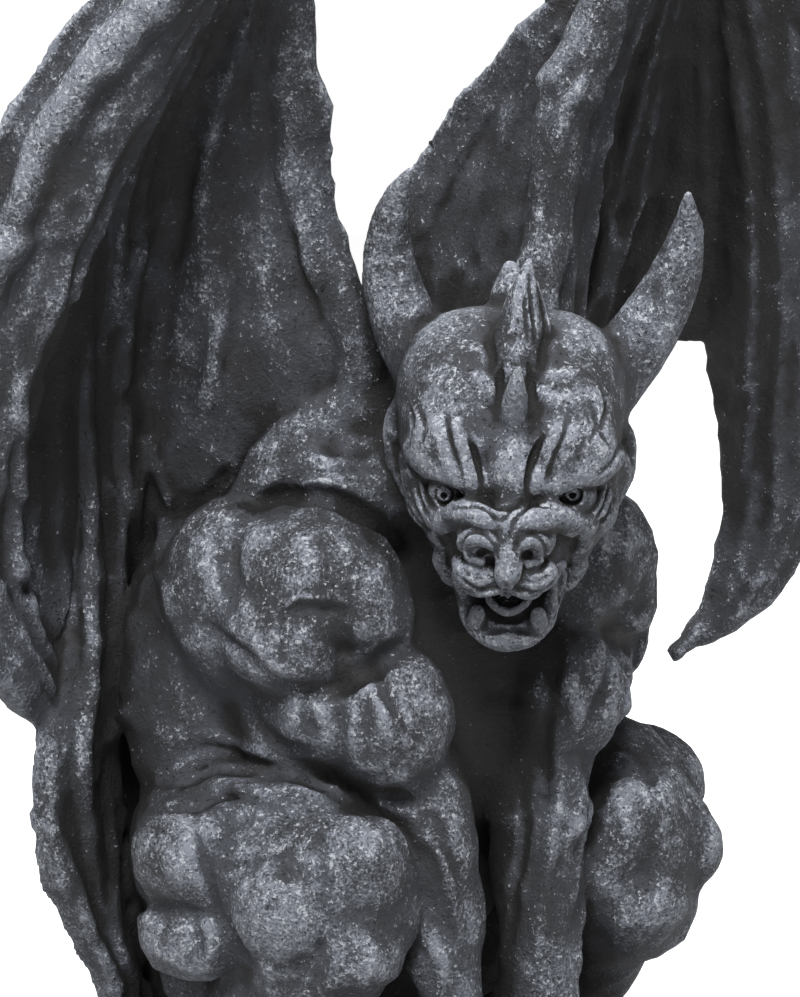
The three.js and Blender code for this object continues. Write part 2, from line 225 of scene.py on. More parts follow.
class Clay:
    far = 30.0
    rayReach = (900, 1700)  # how far from the camera the clay can be
    stepAcross, stepMirrored = 14, 9  # a stroke ends where its line jumps further than this
    astray = 1.5  # and a mirrored one where it is further than this off the clay

    def __init__(self, low, high, cell, place=None):
        self.low, self.cell = np.array(low, float), cell
        self.shape = np.ceil((np.array(high, float) - self.low) / cell).astype(int) + 1
        self.field = np.full(self.shape, self.far, np.float32)
        self.place = place or Matrix.Identity(4)

    def window(self, low, high):
        first = np.maximum(np.floor((low - self.low) / self.cell).astype(int), 0)
        last = np.minimum(np.ceil((high - self.low) / self.cell).astype(int) + 1, self.shape)
        if (last <= first).any():
            return None
        axes = [self.low[i] + self.cell * np.arange(first[i], last[i]) for i in range(3)]
        spots = np.meshgrid(*axes, indexing="ij", sparse=True)
        return tuple(slice(a, b) for a, b in zip(first, last)), spots

    def press(self, where, distance, soft, cut=False):
        old = self.field[where]
        sign = -1 if cut else 1
        share = np.clip(0.5 + 0.5 * (sign * old - distance) / soft, 0, 1)
        melt = soft * share * (1 - share)
        self.field[where] = old * (1 - share) + sign * distance * share - sign * melt

    # a muscle or a hollow: an ellipsoid of three half sizes, turned in degrees
    def lump(self, at, half, turn=(0, 0, 0), soft=5, cut=False):
        at, half = np.array(at, float), np.array(half, float)
        reach = (half if not any(turn) else half.max()) + soft + 2 * self.cell
        found = self.window(at - reach, at + reach)
        if not found:
            return
        where, spots = found
        x, y, z = (spots[i] - at[i] for i in range(3))
        if any(turn):
            m = Euler([math.radians(angle) for angle in turn]).to_matrix()
            x, y, z = (m[0][i] * x + m[1][i] * y + m[2][i] * z for i in range(3))
        near = np.sqrt((x / half[0]) ** 2 + (y / half[1]) ** 2 + (z / half[2]) ** 2)
        slope = np.sqrt((x / half[0] ** 2) ** 2 + (y / half[1] ** 2) ** 2 + (z / half[2] ** 2) ** 2)
        self.press(where, near * (near - 1) / np.maximum(slope, 1e-4), soft, cut)

    # a limb, horn, fold or groove: a round tube of changing radius along points
    def tube(self, centres, radii, soft=3, cut=False, flat=None):
        centres, radii = np.array(centres, float), np.array(radii, float)
        reach = radii.max() * (flat[1] if flat and flat[1] > 1 else 1) + soft + 2 * self.cell
        found = self.window(centres.min(axis=0) - reach, centres.max(axis=0) + reach)
        if not found:
            return
        where, spots = found
        if flat:
            axis = np.array(flat[0], float)
            lean = sum(spots[i] * axis[i] for i in range(3)) * (1 / flat[1] - 1)
            spots = [spots[i] + axis[i] * lean for i in range(3)]
            centres = centres + np.outer(centres @ axis, axis) * (1 / flat[1] - 1)
        best = None
        for n in range(len(centres) - 1):
            a, step = centres[n], centres[n + 1] - centres[n]
            x, y, z = (spots[i] - a[i] for i in range(3))
            share = np.clip((x * step[0] + y * step[1] + z * step[2]) / max(step @ step, 1e-6), 0, 1)
            x, y, z = x - share * step[0], y - share * step[1], z - share * step[2]
            away = np.sqrt(x**2 + y**2 + z**2) - (radii[n] + share * (radii[n + 1] - radii[n]))
            best = away if best is None else np.minimum(best, away)
        self.press(where, best, soft, cut)

    def limb(self, path, radii, steps=14, **settings):
        shares = np.linspace(0, 1, steps + 1)
        radii = np.interp(shares, np.linspace(0, 1, len(radii)), radii)
        self.tube(curveThrough(path, steps + 1), radii, **settings)

    # a lump or limb on both sides; a lump's turn isn't mirrored
    def both(self, kind, path, *rest, **settings):
        press = getattr(self, kind)
        press(path, *rest, **settings)
        press(np.array(path, float) * np.array((-1, 1, 1)), *rest, **settings)

    # another form's mesh, such as a wing, melted in
    def add(self, item, soft=3):
        points = np.array([v.co for v in item.data.vertices])
        faces = [tuple(f.vertices) for f in item.data.polygons]
        spread = 6
        grid = openvdb.FloatGrid.createLevelSetFromPolygons(
            (points - self.low) / self.cell,
            triangles=np.array([f for f in faces if len(f) == 3]).reshape(-1, 3),
            quads=np.array([f for f in faces if len(f) == 4]).reshape(-1, 4),
            halfWidth=spread,
        )
        values = np.full(self.shape, spread, np.float32)
        grid.copyToArray(values)
        where = tuple(slice(0, n) for n in self.shape)
        self.press(where, values * self.cell, soft)
        bpy.data.objects.remove(item)

    def sample(self, points):
        place = np.clip((points - self.low) / self.cell, 0, np.array(self.shape) - 1.001)
        corner = place.astype(int)
        fx, fy, fz = (place - corner).T
        x, y, z = corner.T
        f = self.field
        low = (f[x, y, z] * (1 - fx) + f[x + 1, y, z] * fx) * (1 - fy)
        low += (f[x, y + 1, z] * (1 - fx) + f[x + 1, y + 1, z] * fx) * fy
        high = (f[x, y, z + 1] * (1 - fx) + f[x + 1, y, z + 1] * fx) * (1 - fy)
        high += (f[x, y + 1, z + 1] * (1 - fx) + f[x + 1, y + 1, z + 1] * fx) * fy
        return low * (1 - fz) + high * fz

    def normals(self, points):
        step = self.cell
        slope = [self.sample(points + offset) - self.sample(points - offset) for offset in np.eye(3) * step]
        return unit(np.array(slope).T)

    # where the camera's rays through these pixels of the photograph meet the clay
    def touch(self, pixels):
        back = self.place.inverted()
        eye = np.array(back @ viewPoint)
        depths = np.arange(*self.rayReach, self.cell * 0.6)
        high = self.low + (np.array(self.shape) - 2) * self.cell
        found = []
        for px, py in pixels:
            along = np.array(back.to_3x3() @ pixelRay(px, py))
            line = eye + depths[:, None] * along
            line = line[((line > self.low) & (line < high)).all(axis=1)]
            if not len(line):
                continue
            values = self.sample(line)
            under = np.nonzero(values < 0)[0]
            if len(under) and under[0] > 0:
                n = under[0]
                share = values[n - 1] / (values[n - 1] - values[n])
                found.append(line[n - 1] + share * (line[n] - line[n - 1]))
        return np.array(found)

    # A stroke over the clay along pixels of the photograph: raised by its height, or cut if below nought
    def stroke(self, pixels, width, height, mirror=False, soft=None, ends=0.25):
        dense = curveThrough([(x, y, 0) for x, y in pixels], 5 * len(pixels) + 1)[:, :2]
        line = self.touch(dense)
        if len(line) < 3:
            return
        gaps = np.nonzero(np.linalg.norm(np.diff(line, axis=0), axis=1) > self.stepAcross)[0]
        line = line[: gaps[0] + 1] if len(gaps) and gaps[0] >= 3 else line
        normal = self.normals(line)
        share = np.linspace(0, 1, len(line))
        strength = ends + (1 - ends) * np.minimum(1, np.minimum(share, 1 - share) * 4)
        tall = abs(height)
        radius = (width * width / 4 + tall * tall) / (2 * tall)
        side = -1 if height > 0 else 1
        centres = line + side * normal * (radius - tall * strength)[:, None]
        soft = soft or width * 0.35
        self.tube(centres, [radius] * len(line), soft, height < 0)
        if not mirror:
            return
        line = line * np.array((-1, 1, 1))
        for _ in range(4):  # the mirrored line is drawn back onto the clay
            line = line - self.normals(line) * self.sample(line)[:, None]
        normal = self.normals(line)
        apart = np.linalg.norm(np.diff(line, axis=0), axis=1) > self.stepMirrored
        gaps = np.nonzero(apart | (np.abs(self.sample(line))[1:] > self.astray))[0]
        last = gaps[0] + 1 if len(gaps) else len(line)
        if last > 3:
            centres = line + side * normal * (radius - tall * strength)[:, None]
            self.tube(centres[:last], [radius] * last, soft, height < 0)

    def mesh(self, name):
        grid = openvdb.FloatGrid(self.far)
        grid.copyFromArray(self.field)
        grid.gridClass = openvdb.GridClass.LEVEL_SET
        points, quads = grid.convertToQuads()
        made = meshObject(name, points * self.cell + self.low, quads[:, ::-1].tolist())
        made.data.transform(self.place)
        return made


# Body

body = {
    "block": ((-218, -118, -8), (218, 156, 584)),  # corners of the clay it is made from
    "cell": 1.6,
    "soft": 5,  # how far one muscle melts into the next
    "tuck": 12,  # the left arm is drawn in closer than the right one
    "spineBumps": 11,
}


def pressTorso(clay):
    soft = body["soft"]
    for at, half, turn in (
        ((0, 84, 96), (56, 44, 42), (0, 0, 0)),  # pelvis
        ((0, 46, 142), (46, 46, 52), (25, 0, 0)),  # belly
        ((0, 24, 206), (60, 50, 58), (20, 0, 0)),  # ribs
        ((0, 30, 258), (66, 45, 42), (0, 0, 0)),  # hunched upper back
    ):
        clay.lump(at, half, turn, soft=soft + 4)
    clay.limb([(0, 40, 280), (0, 10, 308), (-3, -30, 312)], [44, 38, 30], soft=8)  # neck
    clay.both("lump", (24, -4, 236), (30, 24, 30), soft=9)  # chest
    clay.both("lump", (64, 46, 208), (28, 38, 54), (15, 0, 0), soft=soft + 3)  # side of the back
    clay.both("lump", (50, 84, 146), (26, 34, 38), soft=soft)  # flank
    clay.both("lump", (86, 58, 224), (27, 34, 64), soft=8)  # where the wing roots run down the back
    roll = [(10, 2, 334), (34, 14, 331), (58, 22, 313), (74, 28, 286)]  # from the neck to the shoulder
    clay.both("limb", roll, [13, 17, 17, 14], soft=soft)
    clay.both("lump", (38, 4, 304), (32, 20, 22), soft=6)  # fills the hollow beside the neck
    clay.both("limb", [(18, -10, 306), (42, -6, 303), (62, 4, 294), (78, 18, 280)], [9, 10, 10, 9], soft=3)
    spine = [(0, 50, 322), (0, 70, 285), (0, 76, 240), (0, 76, 195), (0, 96, 150), (0, 122, 118)]
    for at in curveThrough(spine, body["spineBumps"]):
        clay.lump(at, (8, 8, 9), soft=4)


def pressArm(clay, side, tuck):
    def at(x, y, z):
        return (side * (x - tuck), y, z)

    soft = body["soft"]
    out = tuck  # the forearm of the tucked arm stands straight, out from its elbow
    path = [at(42, -14, 208), at(31 + out * 0.35, -22, 184), at(25 + out * 0.8, -28, 150)]
    path += [at(20 + out * 1.15, -29, 108), at(22 + out, -32, 60)]
    clay.limb(path, [23, 20, 16.5, 12.5 + out * 0.3, 14], soft=soft, steps=24)
    for spot, half, lean, melt in (
        ((60, 10, 216), (28, 28, 38), 20, soft),  # triceps
        ((84, 24, 260), (28, 31, 40), 10, 7),  # back of the shoulder
        ((68, -3, 270), (30, 31, 31), 12, 4),  # front of the shoulder, in three heads
        ((57, -13, 262), (25, 25, 33), 20, 4),
        ((79, -3, 252), (20, 26, 27), 10, 3.5),
        ((67, -8, 222), (20, 24, 24), 20, 4),  # outer biceps
        ((46, -25, 219), (25, 26, 29), 14, 3.5),  # biceps
        ((29 + out * 0.6, -34, 170), (13, 13, 32), 8, 3.5),  # outer forearm
        ((21 + out * 0.8, -22, 160), (12, 15, 34), 5, 3.5),  # inner forearm
        ((38 + out * 0.4, -30, 190), (12, 12, 17), 14, 3),
        ((31 + out, -30, 128), (9, 10, 22), 3, 3),  # wrist's outer cord
    ):
        clay.lump(at(*spot), half, (0, side * lean, 0), soft=melt)
    if tuck:
        clay.lump(at(86, 0, 238), (17, 20, 26), soft=4)  # fills the outside of the tucked elbow


def pressLegs(clay):
    soft = body["soft"]
    clay.both("lump", (52, 90, 100), (38, 42, 42), soft=soft)  # buttock
    clay.both("limb", [(52, 84, 116), (76, 40, 158), (74, -2, 152)], [38, 42, 36], soft=soft)  # thigh
    for at, half in (
        ((74, -18, 152), (33, 28, 36)),  # knee
        ((76, 2, 165), (32, 30, 33)),  # end of the thigh
        ((74, -20, 126), (29, 23, 24)),  # under the knee
        ((63, -37, 163), (18, 13, 20)),  # kneecap's lobes
        ((67, -37, 131), (19, 14, 15)),
        ((94, -29, 147), (16, 13, 16)),
        ((50, -28, 148), (13, 15, 22)),  # inside of the knee
    ):
        clay.both("lump", at, half, soft=7)
    clay.both("lump", (110, 18, 164), (20, 27, 22), soft=8)  # outside of the knee
    clay.both("lump", (107, 20, 132), (22, 26, 18), soft=8)
    clay.both("limb", [(74, -8, 122), (82, 20, 92), (84, 42, 50)], [22, 20, 15], soft=soft)  # shin
    clay.both("lump", (84, 52, 108), (18, 26, 24), soft=4)  # calf
    clay.both("lump", (86, 58, 40), (13, 16, 14), soft=4)  # heel


def pressDigit(clay, foot, heading, length, thick):
    turn = math.radians(heading)

    def reach(share, z):
        return (foot[0] + math.sin(turn) * length * share, foot[1] - math.cos(turn) * length * share, z)

    bone = [reach(0, 40), reach(0.3, 44), reach(0.62, 39), reach(0.85, 35)]
    clay.both("limb", bone, [thick, thick * 1.15, thick * 0.9, thick], soft=2)
    claw = [reach(0.78, 37), reach(1.0, 38.5), reach(1.25, 29)]
    clay.both("limb", claw, [thick * 0.75, thick * 0.6, 1.2], soft=1.5)


def pressPaws(clay):
    clay.both("lump", (23, -40, 42), (18, 20, 14), soft=4)  # hand
    for i, heading in enumerate((-24, -4, 16, 38)):
        pressDigit(clay, (14 + 7 * i, -48 + 2 * i), heading, 26, 5.5)
    clay.both("limb", [(84, 48, 40), (85, 20, 44), (88, -8, 38)], [15, 14, 15], soft=4)  # foot
    for i, heading in enumerate((-18, 4, 28)):
        pressDigit(clay, (78 + 10 * i, -12), heading, 30, 6.5)


wing = {
    "wrist": (88, -40, 560),
    "membrane": 3.4,  # half the web's thickness
    "finger": 7,
    "arm": 9,
    # the left wing's tip hangs free; the right one is swept back against its own inner edge
    "leftTip": {
        "foreUpper": [(114, -42, 527), (140, -38, 492), (165, -28, 453), (180, -8, 405), (196, 14, 345)],
        "outer": [(126, -44, 520), (160, -18, 495), (186, 2, 450), (199, 10, 400), (200, 16, 345)],
        "inner": [(128, 86, 270), (136, 92, 205), (137, 92, 150), (120, 86, 90), (104, 84, 34)],
        "middle": [(178, 60, 298), (179, 62, 260), (170, 64, 223), (154, 63, 207)],
        "fore": [(208, 40, 258), (192, 57, 222), (156, 63, 204)],
        "hems": ([], []),
    },
    "rightTip": {
        "foreUpper": [(117, -42, 527), (149, -34, 492), (173, -11, 453), (187, 10, 405), (198, 32, 345)],
        "outer": [(128, -44, 520), (162, -18, 495), (188, 6, 450), (203, 24, 400), (204, 36, 345)],
        "inner": [(132, 78, 268), (149, 62, 208), (147, 66, 152), (120, 72, 98), (104, 82, 34)],
        "middle": [(166, 57, 308), (160, 66, 270), (143, 74, 243), (130, 80, 215)],
        "fore": [(208, 36, 285), (170, 54, 230), (130, 80, 198)],
        "hems": ([(130, 78, 300), (138, 72, 245)], [(166, 57, 308), (144, 74, 244)]),
    },
}


def drawWing(tip):
    wrist = wing["wrist"]
    rear = [wrist, (80, 0, 522), (63, 30, 488), (57, 60, 462), (42, 94, 420), (26, 106, 375), (22, 92, 325)]
    arm = [wrist, (78, -8, 505), (64, 14, 455), (55, 16, 408), (40, 8, 360), (30, 20, 318)]
    seam = [(40, 76, 270), (46, 90, 190), (54, 94, 100), (60, 90, 34)]
    valley = [wrist, (96, 2, 500), (104, 46, 440), (102, 66, 385), (96, 80, 320)]
    valleyFoot = [(98, 94, 255), (96, 100, 180), (90, 96, 100), (84, 90, 34)]
    inner = [wrist, (114, 5, 490), (132, 42, 420), (128, 74, 350)]
    middle = [wrist, (124, -6, 490), (148, 24, 420), (162, 52, 345)]
    foreUpper, outer = tip["foreUpper"], tip["outer"]
    fore = [wrist] + foreUpper + tip["fore"]
    finger, thin = wing["finger"], wing["membrane"]
    innerHem, middleHem = tip["hems"]
    bones = [
        (arm, [wing["arm"] * share for share in (1, 0.9, 1.25, 0.85, 1.1, 1.6)]),
        (fore, [finger * share for share in (1.2, 0.95, 1.25, 1.0, 0.9, 0.8, 0.75, 0.55, 0.12)]),
        ([(84, -36, 550), (88, -46, 566), (82, -57, 574)], [8, 6, 1.4]),  # thumb claw
        ([foreUpper[1], foreUpper[1]], [9.5, 9.5]),  # knuckles
        ([foreUpper[3], foreUpper[3]], [9.5, 9.5]),
        ([arm[2], arm[2]], [12.5, 12.5]),  # elbow
    ]
    webs = [
        web([rear, arm], sag=-0.08, folds=((0.25, -2.5, 0.09), (0.5, -2, 0.07), (0.78, -2.5, 0.07))),
        web(
            [arm + seam, valley + valleyFoot, inner + tip["inner"]],
            bones=[thin, thin, finger * 0.75],
            folds=((0.3, 3, 0.08), (0.62, 4, 0.08), (1.0, 3.5, 0.07), (1.35, 3, 0.08), (1.65, 2.5, 0.06)),
        ),
        web([inner + innerHem, middle + middleHem], sag=0.12, rows=50, bones=[finger * 0.7, finger * 0.7]),
        web(
            [middle + tip["middle"], fore],
            sag=0.12,
            bones=[finger * 0.65, thin],
            folds=((0.3, 2.5, 0.08), (0.6, 3, 0.08), (0.82, 2, 0.05)),
        ),
        web([foreUpper, outer], rows=40, between=12, sag=-0.1, folds=((0.4, -1.5, 0.12), (0.75, -1.5, 0.1))),
    ]
    return webs, bones


def pressWings(clay):
    for side, tip in ((1, "leftTip"), (-1, "rightTip")):
        webs, bones = drawWing(wing[tip])
        for item in webs:
            if side < 0:
                item.data.transform(Matrix.Scale(-1, 4, (1, 0, 0)))
                item.data.flip_normals()
            clay.add(item, 2.5)
        for path, radii in bones:
            path = np.array(path, float) * (side, 1, 1)
            if len(path) == 2:
                clay.lump(path[0], (radii[0], radii[0], radii[0] * 1.1), soft=3)
            else:
                clay.limb(path, radii, steps=10 * len(path) // 2, soft=3)


rockBase = {"thickness": 28, "margin": 20, "bevel": 7, "sides": 72}


def drawRock():
    halfWidth, halfDepth = 104 + rockBase["margin"], 92 + rockBase["margin"]
    bevel, top = rockBase["bevel"], rockBase["thickness"]
    rings = []
    for z, grow in ((-6, 0), (bevel, bevel), (top - bevel, bevel), (top, 0)):
        for i in range(rockBase["sides"]):
            angle = 2 * math.pi * i / rockBase["sides"]
            uneven = 1 + 0.03 * math.sin(5 * angle + 1) + 0.025 * math.sin(9 * angle)
            roundness = (abs(math.cos(angle)) ** 3 + abs(math.sin(angle)) ** 3) ** (-1 / 3)
            x = (halfWidth * uneven * roundness + grow - 1) * math.cos(angle)
            y = 28 + (halfDepth * uneven * roundness + grow - 1) * math.sin(angle)
            rings.append((x, y, z))
    n = rockBase["sides"]
    faces = [(0, i + 1, i) for i in range(1, n - 1)]
    faces += [(3 * n, 3 * n + i, 3 * n + i + 1) for i in range(1, n - 1)]
    for level in range(3):
        for i in range(n):
            k = (i + 1) % n
            faces.append((level * n + i, level * n + k, (level + 1) * n + k, (level + 1) * n + i))
    return meshObject("rock", rings, faces)


muscleStrokes = [
    # (pixels of the photograph, width, height, laid on both sides)
    ([(318, 444), (345, 450), (376, 452)], 13, -3.4, True),
    ([(282, 480), (312, 470), (346, 466), (376, 468)], 8, -3, True),
    ([(246, 503), (290, 496), (335, 502), (384, 530)], 10, -4.4, True),
    ([(384, 528), (402, 560), (404, 600), (392, 640)], 9, -3.9, True),
    ([(238, 520), (240, 580), (258, 640), (282, 674)], 8, -3.4, True),
    (
        [(268, 604), (276, 611), (290, 605), (300, 596), (316, 600), (332, 594), (346, 601), (358, 602)],
        4.6,
        2.4,
        True,
    ),
    ([(272, 616), (288, 614), (304, 606), (326, 608), (350, 612)], 4.4, -2.2, True),
    ([(334, 562), (352, 563), (372, 566)], 4.4, -2.2, True),
    ([(252, 532), (258, 556), (268, 590)], 14, 1.5, True),  # bundles of the shoulder
    ([(304, 526), (312, 556), (306, 580)], 12, 1.1, True),
    ([(344, 528), (354, 552)], 14, 1.3, True),
    ([(380, 566), (378, 600)], 12, 2, True),
    ([(280, 534), (290, 562), (284, 590)], 7, -1.1, True),
    ([(322, 540), (332, 560), (328, 584)], 7, -0.9, True),
    ([(300, 640), (330, 652)], 18, 1.6, True),
    ([(362, 632), (384, 612)], 15, 1.8, True),
    ([(342, 618), (348, 642), (338, 666)], 5, -2, True),
    ([(288, 628), (281, 656)], 5, -2, True),
    ([(206, 556), (220, 598), (246, 642)], 9, 1.4, True),
    ([(412, 812), (428, 842), (446, 880), (460, 934)], 8, 2.4, True),
    ([(428, 922), (438, 950), (446, 974), (444, 994)], 4.8, 2.2, True),
    ([(282, 684), (330, 690), (372, 668), (402, 646)], 10, -4.4, True),
    ([(312, 690), (306, 720), (318, 746)], 7, -2.9, True),
    ([(350, 702), (356, 716), (354, 732), (357, 752)], 4.6, 2.2, True),
    ([(378, 692), (384, 714), (390, 736), (392, 752)], 4.6, 2.2, True),
    ([(366, 704), (370, 726), (368, 750)], 5, -2.2, True),
    ([(402, 706), (408, 730), (404, 750)], 4.6, 2, True),
    ([(338, 706), (342, 730), (340, 748)], 5, -2, True),
    ([(376, 662), (384, 690), (398, 716), (420, 740)], 5, -2.2, True),
    ([(354, 760), (374, 766), (396, 758)], 4, 1.6, True),
    ([(376, 792), (404, 800), (436, 790)], 8, -3.4, True),
    ([(430, 800), (452, 850), (462, 905)], 6, -2.3, True),
    ([(150, 812), (176, 808), (200, 806), (232, 797), (262, 802), (284, 812)], 4.2, -2.9, False),
    ([(196, 812), (200, 838), (206, 862), (214, 890), (221, 916)], 4.5, -2.7, False),
    ([(150, 800), (190, 794), (232, 786), (272, 792)], 6, 1.9, False),
    ([(244, 896), (252, 874), (276, 860), (306, 864)], 6, -2.6, False),  # round the kneecap
    ([(248, 924), (268, 944), (298, 948)], 7, -1.6, False),
    ([(266, 884), (280, 900), (300, 912)], 20, 2.6, False),
    ([(322, 836), (330, 868), (322, 902)], 7, -1.8, False),
    ([(330, 916), (364, 918), (402, 906)], 6, -1.2, False),
    ([(340, 846), (372, 860), (392, 892)], 16, 2, False),
    ([(318, 936), (326, 960), (318, 990)], 6, -2.4, False),
    ([(352, 930), (372, 956), (366, 990)], 9, 2, False),
    ([(130, 903), (160, 908), (190, 908), (206, 920)], 6, -1.6, False),
    ([(206, 918), (214, 940), (210, 962)], 8, 2.6, False),
    ([(196, 924), (200, 946), (194, 966)], 4.6, -2.2, False),
    ([(146, 968), (172, 980), (212, 984)], 6, -1.6, False),
    ([(236, 930), (250, 960), (246, 990)], 7, -1.6, False),
    ([(262, 960), (282, 976), (300, 968)], 8, 2, False),
    ([(212, 830), (232, 838), (258, 830)], 5, 1.6, False),
    ([(214, 850), (236, 858), (256, 848)], 5, 1.6, False),
    ([(222, 872), (240, 876), (252, 866)], 5, 1.4, False),
    ([(150, 838), (166, 852), (176, 876)], 9, 2, False),
    ([(160, 780), (196, 760), (236, 752)], 5, 2, False),
    ([(172, 796), (214, 776), (262, 776)], 5, -2.2, False),
    ([(184, 736), (236, 740), (280, 760), (330, 790), (376, 812)], 6, 2.4, False),
    ([(260, 786), (300, 792), (330, 806)], 5, 1.8, False),
    ([(548, 648), (554, 690), (548, 740), (556, 800)], 7, -2.4, False),
    ([(566, 640), (572, 684), (584, 720)], 6, 2.2, False),
    ([(612, 640), (612, 670), (600, 700), (584, 728)], 6, -2.4, False),
    ([(560, 690), (556, 740), (560, 790), (552, 850), (540, 930), (536, 990)], 6, 2.4, False),
    ([(520, 770), (526, 830), (516, 890), (510, 960)], 5, -2.4, False),
    ([(530, 950), (538, 966), (532, 990)], 4.6, -2, False),
    ([(572, 812), (580, 836), (576, 862)], 7, 2.2, False),
    ([(590, 520), (604, 540), (600, 570)], 7, 2, False),
    ([(616, 560), (628, 580), (640, 600)], 6, -2, False),
    ([(600, 600), (616, 612), (640, 604)], 6, -2.2, False),
    ([(624, 726), (650, 740), (668, 762), (672, 800)], 7, 1.8, False),
    ([(612, 742), (640, 758), (654, 790)], 7, -2.2, False),
    ([(684, 790), (704, 830), (700, 880)], 8, -1.8, False),
    ([(640, 800), (652, 840), (644, 880)], 8, -1.8, False),
    ([(616, 790), (624, 830), (618, 870)], 9, 1.6, False),
    ([(480, 700), (500, 690), (524, 700)], 8, -2.6, False),
    ([(252, 700), (262, 728), (290, 748), (320, 752)], 8, -2.9, True),
    ([(404, 776), (440, 812), (466, 856)], 7, 1.9, True),
    ([(420, 840), (440, 880), (452, 940)], 6, -2.2, True),
    ([(168, 500), (160, 560), (176, 620)], 8, 1.9, True),
    ([(330, 640), (352, 652), (380, 640)], 6, -2.2, True),
    ([(254, 640), (276, 664), (300, 674)], 5, 1.9, True),
    ([(230, 472), (206, 500), (192, 548), (182, 600)], 8, -3.1, True),
    ([(214, 520), (224, 570), (240, 620)], 6, -2.2, True),
    ([(196, 622), (230, 640), (262, 668)], 6, -2.5, True),
]

wingStrokes = [
    ([(160, 160), (145, 219), (126, 303), (124, 345)], 8, 3.6),
    ([(232, 250), (229, 280), (219, 327), (205, 397), (192, 440)], 8, 2.8),
    ([(93, 266), (84, 327), (82, 420), (89, 467), (89, 560), (89, 670), (79, 764), (84, 810)], 7, 5.4),
    ([(19, 327), (16, 467), (14, 560), (42, 638)], 7, 4.6),
    ([(285, 24), (275, 92)], 8, 2.6),
    ([(280, 131), (289, 196), (308, 261), (327, 327)], 8, 2.8),
    ([(262, 110), (252, 190), (262, 260)], 8, -2),
    ([(119, 224), (124, 280), (117, 322)], 5, 2.6),
    ([(52, 340), (50, 420), (52, 520), (56, 600)], 12, -2.4),
    ([(112, 340), (116, 430), (118, 520), (112, 600)], 10, -2.4),
    ([(120, 207), (117, 253), (112, 330)], 5, 2.2),
    ([(145, 439), (163, 481), (175, 513)], 6, 3.6),
    ([(150, 440), (132, 500), (140, 560), (150, 590), (128, 660), (96, 745)], 7, 3.6),
    ([(92, 752), (118, 726), (134, 708)], 6, 2.5),
    ([(80, 700), (86, 800), (95, 880), (122, 965)], 7, 3.1),
    ([(56, 830), (84, 910), (120, 992)], 6, 2.8),
    ([(107, 773), (112, 860), (120, 950), (140, 990)], 6, 3.1),
    ([(122, 770), (126, 830), (128, 880)], 6, -2.2),
    ([(290, 230), (296, 270), (318, 320), (340, 350)], 5, -1.6),
    ([(196, 150), (176, 230), (168, 310), (160, 380)], 8, -2.6),
    ([(150, 300), (140, 360), (120, 430)], 6, -2.2),
    ([(100, 420), (104, 520), (110, 620), (104, 680)], 6, -2.4),
    ([(60, 650), (62, 700), (60, 780)], 5, -1.8),
    ([(600, 40), (560, 120), (540, 200), (536, 260)], 7, 2.8),
    ([(580, 60), (520, 140), (480, 220), (460, 280)], 6, -1.8),
    ([(545, 30), (492, 100), (450, 170), (420, 230)], 6, 2),
    ([(700, 0), (703, 100), (705, 200), (700, 330)], 7, 2.8),
    ([(720, 0), (738, 90), (748, 180), (750, 260), (740, 380), (705, 460)], 7, 2.8),
    ([(780, 0), (795, 60)], 6, 2.2),
    ([(670, 30), (664, 130), (650, 230), (640, 300)], 8, -2.4),
    ([(770, 200), (772, 330), (756, 440), (726, 540)], 6, -1.6),
    ([(720, 560), (742, 590), (700, 640)], 5, -1.2),
]


def modelBody():
    clay = Clay(*body["block"], body["cell"])
    pressTorso(clay)
    pressLegs(clay)
    for side, tuck in ((1, body["tuck"]), (-1, 0)):
        pressArm(clay, side, tuck)
    pressPaws(clay)
    clay.add(drawRock(), 3)
    print("body pressed")
    pressWings(clay)
    print("wings hung")
    for pixels, width, height, mirror in muscleStrokes:
        clay.stroke(pixels, width, height, mirror, soft=1.6)
    for pixels, width, height in wingStrokes:
        clay.stroke(pixels, width, height, True, soft=2)
    return clay.mesh("body")


# Head, drawn about its own centre and facing -Y

head = {
    "at": (-3, -47, 309),
    "yaw": -36,
    "pitch": 16,
    "roll": 2,
    "block": ((-72, -78, -60), (74, 68, 124)),
    "cell": 0.75,
    "eyes": ((444, 496), (572, 495)),  # pixels of the photograph
}


def headPlace():
    turn = Matrix.Rotation(math.radians(head["yaw"]), 4, "Z")
    turn = turn @ Matrix.Rotation(math.radians(head["pitch"]), 4, "X")
    turn = turn @ Matrix.Rotation(math.radians(head["roll"]), 4, "Y")
    return Matrix.Translation(head["at"]) @ turn


def pressSkull(clay):
    for spot, half, soft in (
        ((-2, 8, 23), (41, 47, 42.5), 5),
        ((-18.5, -13, 34), (24.5, 31, 27), 9),  # lobes of the forehead
        ((16.5, -13, 34), (22.5, 31, 27), 9),
        ((-21, 2, 42), (23, 28, 24), 9),
        ((17, 2, 42), (21, 28, 24), 9),
        ((-33, -20, 14), (9.5, 15, 15), 8),  # temples
        ((30, -20, 14), (9, 15, 15), 8),
        ((0, -22, 18), (33, 25, 17), 8),
        ((0, -18, 0), (33, 28, 22), 9),  # middle of the face
        ((0, -36, -9), (20, 21, 17), 8),  # muzzle
    ):
        clay.lump(spot, half, soft=soft)
    jaw = [(35, -2, 8), (28, -14, -8), (20, -24, -22), (13, -32, -36)]
    clay.both("limb", jaw, [9, 8, 6, 4.5], soft=7)
    clay.both("lump", (30, -25, 2), (9, 13, 10), soft=6)  # cheekbone


